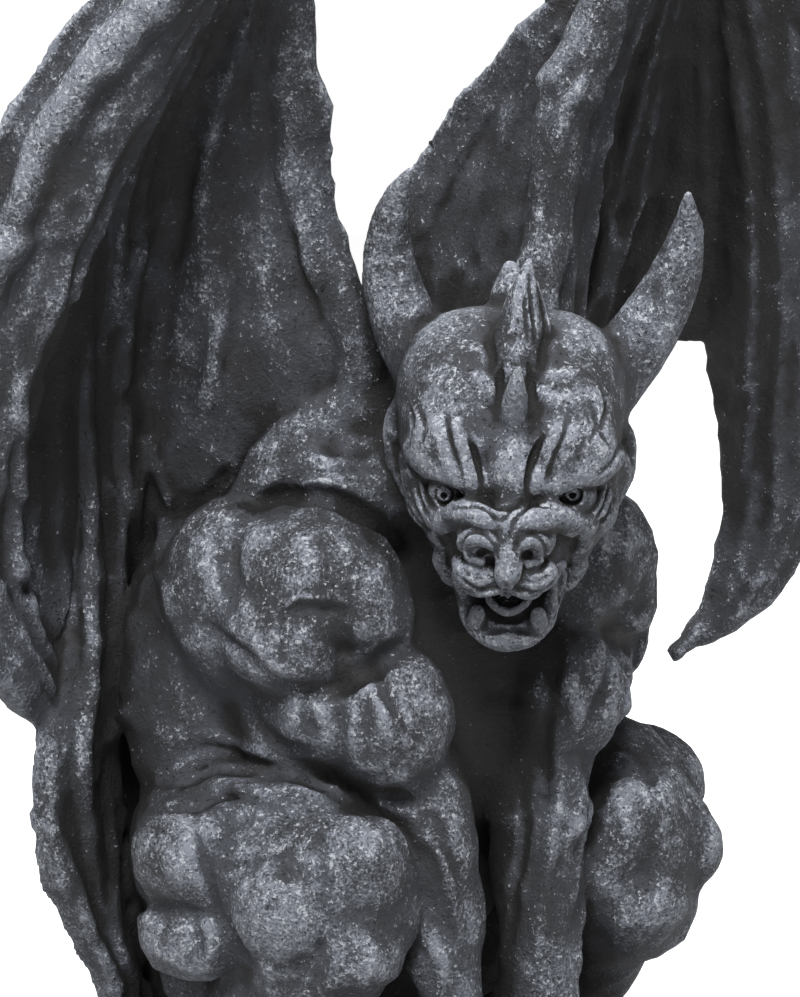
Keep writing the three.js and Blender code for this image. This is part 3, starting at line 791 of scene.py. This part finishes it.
def pressBrow(clay):
    between = [(0, -34, 45), (0, -41, 35), (0, -45.5, 26), (0, -46, 23)]
    clay.limb(between, [6, 8, 9.6, 8.6], soft=6)
    brow = [(9.5, -46.5, 22.5), (15, -46.5, 22.6), (22, -45, 24.2)]
    brow += [(30, -40, 24.8), (36, -31, 25.4), (38, -21, 22)]
    clay.both("limb", brow, [5.4, 5.9, 6.2, 5.8, 4.8, 3], soft=3.5, steps=24)
    clay.both("lump", (22, -36, 33), (15, 12, 11), soft=8)
    clay.both("lump", (11.5, -46, 15), (6.5, 5.5, 5.5), soft=3)  # inner corner of the eye


def pressEyes(clay):
    clay.both("lump", (24.5, -46.5, 13.6), (11, 8.5, 8), (0, 0, -30), soft=1.2, cut=True)
    clay.both("lump", (24, -39.6, 14), (7.2, 7, 7), soft=0.8)
    lower = [(15.5, -46, 14.5), (19, -47, 9.5), (24.5, -45.6, 7), (30.5, -41, 9), (33.5, -35.5, 15)]
    clay.both("limb", lower, [1.3, 1.8, 2, 1.8, 1.3], soft=1, steps=24)
    upper = [(15.5, -46.5, 16), (20, -46.5, 19.2), (26, -44, 20.5), (31.5, -38.5, 19.5), (34, -34.5, 16)]
    clay.both("limb", upper, [1, 1.4, 1.5, 1.4, 1], soft=1.2, steps=24)
    outer = [(13, -46, 11), (18, -47.5, 5.5), (25, -45, 3), (32, -39.5, 5), (36, -33, 12)]
    clay.both("limb", outer, [1.3, 2, 2.2, 2, 1.5], soft=1.6, steps=24)


def pressMuzzle(clay):
    clay.limb([(0, -48, 16), (0, -54, 9), (0, -60, 1), (0, -64, -7)], [6.5, 7.2, 6, 4], soft=4)  # bridge
    clay.lump((0, -63, -8), (4.4, 5, 6.5), soft=2.5)
    snarl = [(3, -58, 11), (9, -58.5, 12), (15, -54.5, 12), (21, -48.5, 8.5), (26, -42, 2), (27, -37, -6)]
    clay.both("limb", snarl, [3.6, 4.4, 4.8, 4.8, 4.4, 3.6], soft=4.5, steps=24)
    for side, draw in ((-1, 1), (1, 0.74)):  # the nostril and lip on the left are drawn in
        def beside(*points):
            return [(side * draw * x, y, z) for x, y, z in points]

        clay.lump(beside((10, -52.5, 2))[0], (9.5, 8.5, 8.5), soft=3)  # flesh round the nostril
        clay.lump(beside((10.5, -53.5, -12))[0], (10.5, 8.5, 7.5), soft=1.8)  # upper lip
        lip = beside((0, -60, -15), (6.6, -59.5, -17.5), (12.2, -56.5, -19))
        lip += beside((16.4, -51, -18.5), (19.5, -45, -15))
        clay.limb(lip, [1.4, 1.9, 2, 1.9, 1.4], soft=1.6, steps=20)
        curl = beside((5, -62, 3), (8.5, -62.5, 5.6), (13, -60.5, 5))
        curl += beside((16, -57, 1.2), (14.6, -56.8, -3.6), (10, -59.5, -5))
        clay.limb(curl, [2.4, 3.2, 3.5, 3.4, 2.8, 1.8], soft=0.9, steps=24)
        nostril = beside((9.2, -62, -1.2))[0]
        clay.lump(nostril, (3.4 * draw, 5, 2.2), (0, side * 20, 0), soft=0.8, cut=True)
    jowl = [(22, -36, -10), (24.4, -32, -18), (22.5, -31, -25)]
    clay.both("limb", jowl, [4, 5, 3.6], soft=5)
    corner = [(19, -44, -13), (18.6, -40, -22), (16, -38, -31), (13.5, -39, -39)]
    clay.both("limb", corner, [2.4, 2.8, 2.6, 2.2], soft=2, steps=18)


def pressMouth(clay):
    clay.lump((0, -34, -38), (14, 14, 8), soft=4)
    rim = [(-15.5, -33, -32), (-13.2, -39.5, -39), (-7.5, -44.5, -42.5), (0, -46.5, -43.5)]
    rim += [(-x, y, z) for x, y, z in rim[2::-1]]
    clay.limb(rim, [4, 4.2, 4.4, 4.8, 4.4, 4.2, 4], soft=2.5, steps=36)
    clay.lump((0, -41, -46.5), (8, 5.5, 4), soft=3)
    clay.lump((0, -46, -28.5), (12.8, 17, 8.6), (10, 0, 0), soft=1.2, cut=True)
    tongue = [(-8.5, -37, -25), (-7, -43, -29.5), (0, -46, -32.5), (7, -43, -29.5), (8.5, -37, -25)]
    clay.limb(tongue, [1.1, 1.4, 1.7, 1.4, 1.1], soft=1.2, steps=24)
    clay.lump((0, -34, -33), (8, 11, 3.5), soft=2)
    tusk = [(11.6, -42.5, -41), (11.6, -44.5, -37), (11.4, -45.8, -33)]
    clay.both("limb", tusk, [3.4, 3.5, 3], soft=0.9, steps=8)
    for i in range(-3, 4):
        clay.lump((i * 2.2, -50.5 + abs(i) * 0.6, -22 + abs(i) * 0.4), (1.1, 1.4, 2.2), soft=0.5)  # teeth


def pressCrown(clay):
    deep = ((0, 1, 0), 1.4)  # the spikes are deeper than wide
    tall = [(-0.5, -16, 56), (0.5, -11, 70), (1.4, -9, 83), (2.8, -6, 92.5)]
    clay.limb(tall, [11, 8, 4.6, 1.3], soft=3, steps=20, flat=deep)
    flank = [(9, -12, 58), (8, -8, 70), (5.5, -5, 84)]
    clay.limb(flank, [4.4, 3, 1], soft=1.5)
    small = [(0, -38, 42), (0.2, -43, 53), (0.5, -46.5, 60), (1, -48, 67)]
    clay.limb(small, [5.4, 4.6, 3.2, 1.2], soft=2.2, flat=deep)
    clay.limb([(-2, 20, 52), (-4, 25, 66), (-5, 29, 75)], [11, 8, 3.4], soft=4)
    clay.limb([(0, 42, 40), (0, 54, 52), (0, 60, 60)], [9, 6, 2.5], soft=4)
    radii = [14.5, 12.6, 9.8, 6, 1.3]
    rightHorn = [(-30, 10, 34), (-45, 19, 58), (-51, 25, 80), (-49, 23, 102), (-43, 16, 118)]
    leftHorn = [(30, 10, 34), (47, 19, 56), (57.5, 26, 77), (61, 27, 95), (60.5, 22, 110.5)]
    for horn in (rightHorn, leftHorn):
        clay.limb(horn, radii, soft=4, steps=26)
    clay.limb([(-41, 6, 30), (-45, 10, 18), (-45, 8, 4), (-41, 2, -6)], [5, 6, 5, 3], soft=3)  # ears
    clay.limb([(37, 8, 24), (40, 12, 14), (41, 10, 2), (38, 4, -8)], [4, 5.4, 5, 3], soft=3)


def drawFace(clay):
    strokes = [
        # (pixels of the photograph, width, height)
        ([(470, 440), (475, 456), (478, 474), (481, 492)], 3.2, -2.4),  # frown
        ([(543, 438), (535, 454), (530, 474), (528, 492)], 3.4, -2.6),
        ([(446, 414), (451, 436), (459, 460), (466, 484)], 2.8, -1.4),
        ([(567, 418), (561, 436), (552, 458), (545, 478)], 2.8, -1.4),
        ([(457, 424), (462, 450), (469, 474), (474, 492)], 4.5, 1.5),
        ([(437, 420), (442, 445), (450, 466), (458, 482)], 4, 1.1),
        ([(556, 428), (548, 450), (541, 472), (536, 490)], 4.5, 1.5),
        ([(576, 430), (568, 450), (558, 468)], 4, 1),
        ([(486, 503), (495, 507), (504, 508), (514, 507), (523, 503)], 2.4, -1.1),  # under the glabella
        ([(490, 509), (500, 519), (511, 509)], 2.2, -1.1),
        ([(452, 508), (466, 506), (480, 506), (492, 514), (498, 528)], 2.2, -1.1),  # beside the nose
        ([(558, 508), (544, 506), (528, 508), (516, 518), (510, 534)], 2.2, -1.1),
        # round the nostrils
        ([(463, 562), (460, 546), (467, 533), (481, 531), (492, 541), (498, 556)], 2.2, -1.5),
        ([(514, 552), (519, 540), (530, 533), (542, 538), (547, 552), (543, 567), (531, 573)], 2.2, -1.5),
        ([(447, 552), (451, 566), (457, 580), (462, 596), (466, 612), (468, 628)], 2.2, -1.4),  # jowls
        ([(573, 550), (568, 566), (562, 580), (561, 596), (557, 614), (551, 628)], 2.2, -1.4),
        ([(458, 574), (468, 584), (480, 589), (492, 586)], 1.9, -1.1),  # double line of the lip
        ([(460, 566), (472, 576), (484, 578)], 1.8, -0.7),
        ([(514, 584), (526, 590), (540, 591), (553, 583), (558, 574)], 1.9, -1.1),
        ([(522, 578), (536, 581), (548, 575)], 1.8, -0.7),
        ([(528, 271), (531, 302), (534, 341)], 2, -1.2),  # flutes of the tall spike
        ([(536, 280), (541, 302), (546, 325)], 2, -1.2),
        ([(524, 292), (525, 315), (527, 338)], 1.8, -0.8),
        ([(519, 278), (516, 305), (512, 330)], 2, 0.6),
        ([(468, 344), (480, 352), (486, 368)], 5.5, 0.9),  # folds at the foot of the crest
        ([(476, 374), (486, 384), (488, 398)], 5, 0.8),
        ([(546, 350), (558, 344), (570, 350)], 5.5, 0.9),
        ([(544, 368), (556, 374), (568, 372)], 5, 0.8),
        ([(540, 388), (550, 395), (562, 396)], 5, 0.7),
        ([(490, 342), (492, 356), (490, 370)], 3.4, -0.8),
        ([(546, 340), (542, 356), (544, 372)], 3.4, -0.8),
        ([(501, 364), (499, 384), (500, 404)], 3, -1.3),  # beside the small spike
        ([(528, 364), (531, 384), (532, 404)], 3, -1.3),
        ([(600, 385), (606, 408), (601, 430), (612, 448)], 2.8, -1.1),  # temples
        ([(590, 400), (596, 424), (590, 440)], 2.8, -0.9),
        ([(406, 398), (412, 422), (408, 446)], 2.8, -1),
        ([(418, 404), (424, 430), (418, 450)], 2.8, -0.8),
        ([(396, 430), (404, 452), (420, 470)], 4, 1),
        ([(398, 446), (408, 466), (424, 480)], 2.4, -1),
        ([(622, 440), (612, 462), (598, 474)], 2.6, -1),
        ([(436, 534), (444, 542), (448, 552)], 2.4, -1),
        ([(582, 532), (574, 541), (570, 552)], 2.4, -1),
        ([(404, 500), (416, 520), (432, 532)], 3, -0.9),
        ([(614, 500), (604, 518), (590, 528)], 3, -0.9),
        ([(484, 636), (500, 630), (520, 630), (536, 636)], 2.4, -1),  # between lip and chin
    ]
    for pixels, width, height in strokes:
        clay.stroke(pixels, width, height, soft=0.9 if height < 0 else 2)
    for pixel in head["eyes"]:
        spot = clay.touch([pixel])
        if len(spot):
            clay.tube([spot[0] + (0, 0.4, 0), spot[0] + (0, 1, 0)], [3.8, 3.8], soft=0.3, cut=True)
            clay.tube([spot[0] + (0, 2.6, 0), spot[0] + (0, 3.4, 0)], [3.1, 3.1], soft=0.3)
            clay.tube([spot[0] - (0, 1, 0), spot[0] + (0, 2, 0)], [1.3, 1.3], soft=0.3, cut=True)
    clay.stroke([(506, 582), (505, 592)], 2.4, -1.2, soft=0.8)


def modelHead():
    clay = Clay(*head["block"], head["cell"], headPlace())
    for press in (pressSkull, pressBrow, pressEyes, pressMuzzle, pressMouth, pressCrown, drawFace):
        press(clay)
    return clay.mesh("head")


trunk = modelBody()
print("body modelled:", len(trunk.data.polygons), "faces")
face = modelHead()
print("head modelled:", len(face.data.polygons), "faces")


# Surface: the uneven hand of the modeller

def roughened(item, name, size, height, depth, kind):
    texture = bpy.data.textures.new(name, kind)
    texture.noise_scale = size
    if kind == "CLOUDS":
        texture.noise_depth = depth
    else:
        texture.musgrave_type = "RIDGED_MULTIFRACTAL"  # raised, branching lines like veins and wrinkles
        texture.octaves = depth
    settings = {"mid_level": 0.5, "texture_coords": "LOCAL", "direction": "NORMAL"}
    applied(item, "DISPLACE", texture=texture, strength=height, **settings)


unevenness = [
    # (piece, name, size, height, depth, kind)
    (trunk, "modelled", 17, 2.6, 1, "CLOUDS"),
    (trunk, "wrinkled", 24, 1.1, 3, "MUSGRAVE"),
    (trunk, "tooled", 6, 0.5, 1, "CLOUDS"),
    (face, "headModelled", 9, 0.9, 1, "CLOUDS"),
    (face, "headTooled", 3, 0.22, 1, "CLOUDS"),
]
for row in unevenness:
    roughened(*row)


def thinned(item, triangles):
    applied(item, "TRIANGULATE")
    now = len(item.data.polygons)
    if now > triangles:
        applied(item, "DECIMATE", ratio=triangles / now)


thinned(trunk, figure["bodyTriangles"])
thinned(face, figure["headTriangles"])
print("thinned to", len(trunk.data.polygons), "and", len(face.data.polygons), "triangles")

applied(trunk, "BOOLEAN", operation="UNION", object=face, solver="MANIFOLD")
bpy.data.objects.remove(face)
gargoyle = trunk
gargoyle.name = "gargoyleCarved"


# Placed on the frame: millimetres to metres, underside flat, nothing past the CAD box
def settle(item):
    item.data.transform(Matrix.Scale(mm, 4) @ Matrix.Translation((0, figure["shiftY"], 0)))
    mesh = item.data
    points = np.empty(len(mesh.vertices) * 3)
    mesh.vertices.foreach_get("co", points)
    points = points.reshape(-1, 3)
    low, high = np.array(cadBox[0]), np.array(cadBox[1])
    points[points[:, 2] < figure["underside"] * mm, 2] = 0
    points = np.clip(points, low, high)
    mesh.vertices.foreach_set("co", points.ravel())
    mesh.update()


settle(gargoyle)
bpy.ops.object.select_all(action="DESELECT")
print("one piece of", len(gargoyle.data.polygons), "faces")


# Relief, for the wear, painted highlights and painted shade: how far each point stands out of its
# surroundings, at two scales

def meshArrays(item):
    mesh = item.data
    points = np.empty(len(mesh.vertices) * 3)
    mesh.vertices.foreach_get("co", points)
    normals = np.empty(len(mesh.vertices) * 3)
    mesh.vertex_normals.foreach_get("vector", normals)
    return points.reshape(-1, 3), normals.reshape(-1, 3)


# how much the surface bends outwards, per millimetre, over as many faces as it is smoothed by
def bending(points, normals, edges, passes):
    count = len(points)
    a, b = edges.T
    degree = np.maximum(np.bincount(a, minlength=count) + np.bincount(b, minlength=count), 1)

    def around(values):
        return (np.bincount(a, values[b], count) + np.bincount(b, values[a], count)) / degree

    square = ((points[a] - points[b]) ** 2).sum(axis=1) / mm**2
    square = (np.bincount(a, square, count) + np.bincount(b, square, count)) / degree
    smooth = points.T.copy()
    for _ in range(passes):
        smooth = np.array([0.5 * axis + 0.5 * around(axis) for axis in smooth])
        square = 0.5 * square + 0.5 * around(square)
    return 4 * ((points - smooth.T) * normals).sum(axis=1) / mm / (passes * square)


reliefScales = [
    # (attribute, smoothing passes, radius in mm that counts as sharp)
    ("fineRelief", 4, 6),
    ("broadRelief", 50, 26),
]


def markRelief(item):
    mesh = item.data
    points, normals = meshArrays(item)
    edges = np.empty(len(mesh.edges) * 2, int)
    mesh.edges.foreach_get("vertices", edges)
    edges = edges.reshape(-1, 2)
    for name, passes, radius in reliefScales:
        value = bending(points, normals, edges, passes) * radius
        layer = mesh.attributes.new(name, "FLOAT", "POINT")
        layer.data.foreach_set("value", np.clip(0.5 + 0.5 * value, 0, 1))


# How much of the sky over each point the figure itself shuts out, painted as shade and dark patina in
# sheltered places
shadeAndPatinaSettings = {
    "cell": 3,
    "clearance": 4,  # the sky is looked for from this far off the surface
    "reach": 110,
    "steps": 13,
    "directions": 36,
    # painted shade on the wings' inner faces and painted light on their outer faces
    "wingInsideShade": 0.75,
    "wingOutsideLight": 0.5,
    "wingFrom": (62, 250),  # sideways and upwards, where the wings begin
    "wingBlend": (40, 80),
    "wrap": 0.25,  # how far the inner faces' shade runs round their edges
    "edge": 1.6,  # how sharply a dark place ends
}
# painted shadows and shade in some places, and a darker tone on the head and horns
darkPlaces = [
    # (measured in, centre, half sizes, amount)
    # painted shade in the eye sockets
    ("head", (24, -44, 14), (11, 10, 8), 0.35),  # eyes
    ("head", (-24, -44, 14), (11, 10, 8), 0.35),
    # painted shadow behind the small spike
    ("head", (0, -24, 62), (13, 17, 15), 0.45),  # behind the small spike
    ("head", (0, 0, 25), (80, 80, 80), 0.28),  # the head gets less rubbed wear and painted highlight than its sharp edges would give it
    ("head", (-48, 20, 85), (26, 26, 46), 0.2),  # horns
    ("head", (58, 26, 82), (26, 26, 46), 0.5),
    # painted shade under the head, on the chest
    ("body", (0, -30, 214), (46, 44, 64), 0.5),  # chest
    # painted shade between the legs
    ("body", (0, 10, 120), (50, 60, 50), 0.4),  # between the legs
]


def skyDirections(count):
    n = np.arange(count) + 0.5
    tilt, turn = np.arccos(1 - 2 * n / count), math.pi * (1 + 5**0.5) * n
    return np.array([np.cos(turn) * np.sin(tilt), np.sin(turn) * np.sin(tilt), np.cos(tilt)]).T


def markShadeAndPatina(item):
    cell = shadeAndPatinaSettings["cell"] * mm
    points, normals = meshArrays(item)
    low = points.min(axis=0) - 2 * cell
    item.data.calc_loop_triangles()
    faces = np.empty(len(item.data.loop_triangles) * 3, np.int32)
    item.data.loop_triangles.foreach_get("vertices", faces)
    faces = faces.reshape(-1, 3)
    solid = openvdb.FloatGrid.createLevelSetFromPolygons((points - low) / cell, triangles=faces, halfWidth=2)
    shape = np.ceil((points.max(axis=0) - low) / cell).astype(int) + 3
    values = np.full(shape, 2.0, np.float32)
    solid.copyToArray(values)
    inside = values < 0
    start = (points + normals * shadeAndPatinaSettings["clearance"] * mm - low) / cell
    shut, total = np.zeros(len(points)), np.zeros(len(points))
    reaches = np.linspace(2, shadeAndPatinaSettings["reach"] / shadeAndPatinaSettings["cell"], shadeAndPatinaSettings["steps"])
    for direction in skyDirections(shadeAndPatinaSettings["directions"]):
        weight = np.maximum(normals @ direction, 0)
        blocked = np.zeros(len(points), bool)
        for reach in reaches:
            at = (start + direction * reach).astype(int)
            held = ((at >= 0) & (at < shape)).all(axis=1)
            at = np.clip(at, 0, shape - 1)
            blocked |= inside[at[:, 0], at[:, 1], at[:, 2]] & held
        blocked |= start[:, 2] + direction[2] * reaches[-1] < 0
        shut += weight * blocked
        total += weight
    # the shut-out share of the sky becomes painted shade and dark patina in creases and hollows
    shadeAndPatina = shut / np.maximum(total, 1e-6)
    place = points / mm - (0, figure["shiftY"], 0)
    toHead, edge = headPlace().inverted(), shadeAndPatinaSettings["edge"]
    inHead = np.array([tuple(toHead @ Vector(point)) for point in place])
    for where, centre, size, amount in darkPlaces:
        away = np.linalg.norm(((inHead if where == "head" else place) - centre) / size, axis=1)
        shadeAndPatina += amount * np.clip(edge - edge * away, 0, 1)
    # painted shade on the wings' inner faces, painted light on their outer faces
    inward = -np.sign(place[:, 0]) * normals[:, 0]
    (fromX, fromZ), (blendX, blendZ) = shadeAndPatinaSettings["wingFrom"], shadeAndPatinaSettings["wingBlend"]
    wingSide = np.clip((np.abs(place[:, 0]) - fromX) / blendX, 0, 1)
    wingSide *= np.clip((place[:, 2] - fromZ) / blendZ, 0, 1)
    shadeAndPatina += shadeAndPatinaSettings["wingInsideShade"] * wingSide * np.clip(inward + shadeAndPatinaSettings["wrap"], 0, 1)
    shadeAndPatina -= shadeAndPatinaSettings["wingOutsideLight"] * wingSide * np.clip(-inward, 0, 1)
    layer = item.data.attributes.new("shadeAndPatina", "FLOAT", "POINT")
    layer.data.foreach_set("value", shadeAndPatina)


markShadeAndPatina(gargoyle)
markRelief(gargoyle)
selectOnly(gargoyle)
bpy.ops.object.shade_smooth()
bpy.ops.object.select_all(action="DESELECT")
print("wear marked")


# Shader sockets as Python values

class Shade:
    def __init__(self, tree, socket):
        self.tree, self.socket = tree, socket

    def node(self, kind, settings=None, inputs=None, output=0):
        return newNode(self.tree, kind, settings, inputs, output)

    def maths(self, operation, a, b=0.0):
        return self.node("ShaderNodeMath", {"operation": operation}, {0: a, 1: b})

    def __add__(self, other):
        return self.maths("ADD", self, other)

    def __sub__(self, other):
        return self.maths("SUBTRACT", self, other)

    def __rsub__(self, other):
        return self.maths("SUBTRACT", other, self)

    def __mul__(self, other):
        return self.maths("MULTIPLY", self, other)

    __radd__ = __add__
    __rmul__ = __mul__

    def over(self, low, high):
        smooth = {"clamp": True, "interpolation_type": "SMOOTHSTEP"}
        return self.node("ShaderNodeMapRange", smooth, {0: self, 1: low, 2: high})

    def tinted(self, under, over):
        inputs = {"Factor": self, "A": under, "B": over}
        return self.node("ShaderNodeMix", {"data_type": "RGBA"}, inputs, "Result")


def newNode(tree, kind, settings=None, inputs=None, output=0):
    node = tree.nodes.new(kind)
    for key, value in (settings or {}).items():
        setattr(node, key, value)
    for key, value in (inputs or {}).items():
        socket = pickSocket(node.inputs, key)
        if isinstance(value, Shade):
            tree.links.new(value.socket, socket)
        else:
            socket.default_value = value
    return Shade(tree, pickSocket(node.outputs, output))


def pickSocket(sockets, key):
    if isinstance(key, int):
        return sockets[key]
    fits = [socket for socket in sockets if socket.name == key and socket.enabled]
    return fits[0]


def linear(red, green, blue):
    shares = [value / 255 for value in (red, green, blue)]
    return tuple(((c + 0.055) / 1.055) ** 2.4 if c > 0.04 else c / 12.92 for c in shares) + (1,)


stone = {
    "base": (49, 50, 53),
    "cool": (72, 75, 82),
    "brown": ((39, 35, 34), 0.52, 0.85, 0.7),  # colour, where it starts and is full, how much it covers
    # near black, for dark patina and painted shade in hollows and sheltered places
    "recessPatinaAndShade": ((19, 18, 19), 0.05, 0.6, 0.92),
    # pale, for dry-brushed wear and painted highlights on raised edges
    "rubbedAndHighlit": ((142, 147, 158), 0.15, 1.1, 0.9),
    "fleck": ((200, 204, 210), 0.63, 0.68, 0.7),
    "pit": ((19, 18, 19), 0.64, 0.69, 0.75),
    "roughness": 0.78,
    "specular": 0.4,
    "bump": 0.9,
    "bumpDepth": 0.0015,
}


def castStone():
    # cast stone colours with patina, painted shade and painted highlights
    material = bpy.data.materials.new("castStonePatinaAndPaintedLight")
    material.use_nodes = True
    tree = material.node_tree
    tree.nodes.clear()
    place = newNode(tree, "ShaderNodeTexCoord", output="Object")

    def noiseAt(scale, detail=4.0, roughness=0.6, stretch=None):
        where = place
        if stretch:
            where = newNode(tree, "ShaderNodeMapping", None, {"Vector": place, "Scale": stretch})
        settings = {"Vector": where, "Scale": scale, "Detail": detail, "Roughness": roughness}
        return newNode(tree, "ShaderNodeTexNoise", None, settings, "Fac")

    def marked(name):
        settings = {"attribute_name": name, "attribute_type": "GEOMETRY"}
        return newNode(tree, "ShaderNodeAttribute", settings, output="Fac")

    def coated(under, layer, mask):
        tone, start, full, amount = stone[layer]
        return (mask.over(start, full) * amount).tinted(under, linear(*tone))

    # the last of these marks holds painted shade and dark patina in sheltered places
    fineRelief, broadRelief, shadeAndPatina = marked("fineRelief"), marked("broadRelief"), marked("shadeAndPatina")
    cloud = noiseAt(18, 6, 0.65)
    patch = noiseAt(60, 8, 0.78)
    streak = noiseAt(90, 5, 0.75, (1, 1, 0.25))
    grain = noiseAt(850, 2, 0.7)
    speck = noiseAt(480, 3, 0.75)

    drift = (cloud + (patch - 0.5) * 0.6).over(0.36, 0.68)
    colour = drift.tinted(linear(*stone["base"]), linear(*stone["cool"]))
    brown = (0.5 - broadRelief) * 0.8 + noiseAt(24, 5) + shadeAndPatina * 0.25
    colour = coated(colour, "brown", brown)
    # dark patina and painted shade in hollows, creases and sheltered places
    hollow = (0.5 - fineRelief) * 1.1 + (0.5 - broadRelief) * 0.9
    hollow = hollow + (patch - 0.5) * 0.5 + (shadeAndPatina - 0.27) * 1.7
    colour = coated(colour, "recessPatinaAndShade", hollow)
    # dry-brushed wear on raised edges, partly a painted highlight where ridges catch light, held back where
    # painted shade falls
    edge = (fineRelief - 0.5) * 1.4 + (broadRelief - 0.5) * 1.1 - (shadeAndPatina - 0.2) * 0.8
    rubAndHighlight = edge + (cloud - 0.5) * 1.2 + (patch - 0.5) * 2.4 + (streak - 0.5) * 1.0 + (grain - 0.5) * 2.2
    colour = coated(colour, "rubbedAndHighlit", rubAndHighlight)
    flecks = speck + rubAndHighlight.over(-0.4, 1.2) * 0.16 - 0.06
    colour = coated(colour, "fleck", flecks)
    tone, start, full, amount = stone["pit"]
    pits = noiseAt(600, 2, 0.6).over(start, full)
    colour = (pits * amount).tinted(colour, linear(*tone))

    ridged = {"noise_type": "RIDGED_MULTIFRACTAL"}
    settings = {"Vector": place, "Scale": 75, "Detail": 5, "Roughness": 0.6}
    wrinkle = newNode(tree, "ShaderNodeTexNoise", ridged, settings, "Fac")
    rise = grain * 0.45 + patch * 1.1 + speck * 0.5 + wrinkle * 0.35 - pits * 0.9
    settings = {"Strength": stone["bump"], "Distance": stone["bumpDepth"], "Height": rise}
    bump = newNode(tree, "ShaderNodeBump", None, settings, "Normal")
    settings = {"Base Color": colour, "Roughness": stone["roughness"], "Normal": bump}
    settings["Specular IOR Level"] = stone["specular"]
    shader = newNode(tree, "ShaderNodeBsdfPrincipled", None, settings, "BSDF")
    output = tree.nodes.new("ShaderNodeOutputMaterial")
    tree.links.new(shader.socket, output.inputs["Surface"])
    return material


gargoyle.data.materials.clear()
gargoyle.data.materials.append(castStone())
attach(gargoyle, "root")
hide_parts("gargoyle")
print("stone finished")


# Studio: pale floor, white surround, soft light from the upper left

studio = {
    "floorSize": 8,
    "floorColour": (0.9, 0.9, 0.9, 1),
    "floorRoughness": 0.9,
    "floorGlow": 0.8,
    "surround": 0.14,  # how much the white surround lights the stone
    "aim": (0, 0, 0.32),  # where the lights point
    "lights": [
        # (name, place, size, watts)
        ("key", (-1.0, -1.2, 2.1), 0.8, 70),
        ("front", (-0.4, -2.6, 0.9), 1.0, 10),
        ("top", (0.2, 0.3, 2.2), 1.2, 20),
        ("side", (2.0, -0.9, 1.2), 0.8, 3),
        ("back", (0.5, 2.4, 1.3), 1.2, 12),
    ],
}


def setStudio():
    bpy.ops.object.select_all(action="DESELECT")
    bpy.ops.mesh.primitive_plane_add(size=studio["floorSize"], location=(0, 0, 0))
    floor = bpy.context.object
    floor.name = "studioFloor"
    paint = bpy.data.materials.new("floorPaper")
    paint.use_nodes = True
    shader = paint.node_tree.nodes["Principled BSDF"]
    shader.inputs["Base Color"].default_value = studio["floorColour"]
    shader.inputs["Roughness"].default_value = studio["floorRoughness"]
    shader.inputs["Emission Color"].default_value = (1, 1, 1, 1)
    shader.inputs["Emission Strength"].default_value = studio["floorGlow"]
    floor.data.materials.append(paint)
    floor.visible_diffuse = False  # keeps the undersides in shade
    for name, place, size, watts in studio["lights"]:
        bpy.ops.object.light_add(type="AREA", location=place)
        light = bpy.context.object
        light.name = name
        light.data.size = size
        light.data.energy = watts
        light.rotation_euler = (Vector(studio["aim"]) - Vector(place)).to_track_quat("-Z", "Y").to_euler()
    world = bpy.data.worlds.new("studioSurround")
    world.use_nodes = True
    background = world.node_tree.nodes["Background"]
    background.inputs["Color"].default_value = (1, 1, 1, 1)
    seen = newNode(world.node_tree, "ShaderNodeLightPath", output="Is Camera Ray")
    strength = seen * (1 - studio["surround"]) + studio["surround"]
    world.node_tree.links.new(strength.socket, background.inputs["Strength"])
    bpy.context.scene.world = world


setStudio()
bpy.context.scene.view_settings.view_transform = "Standard"
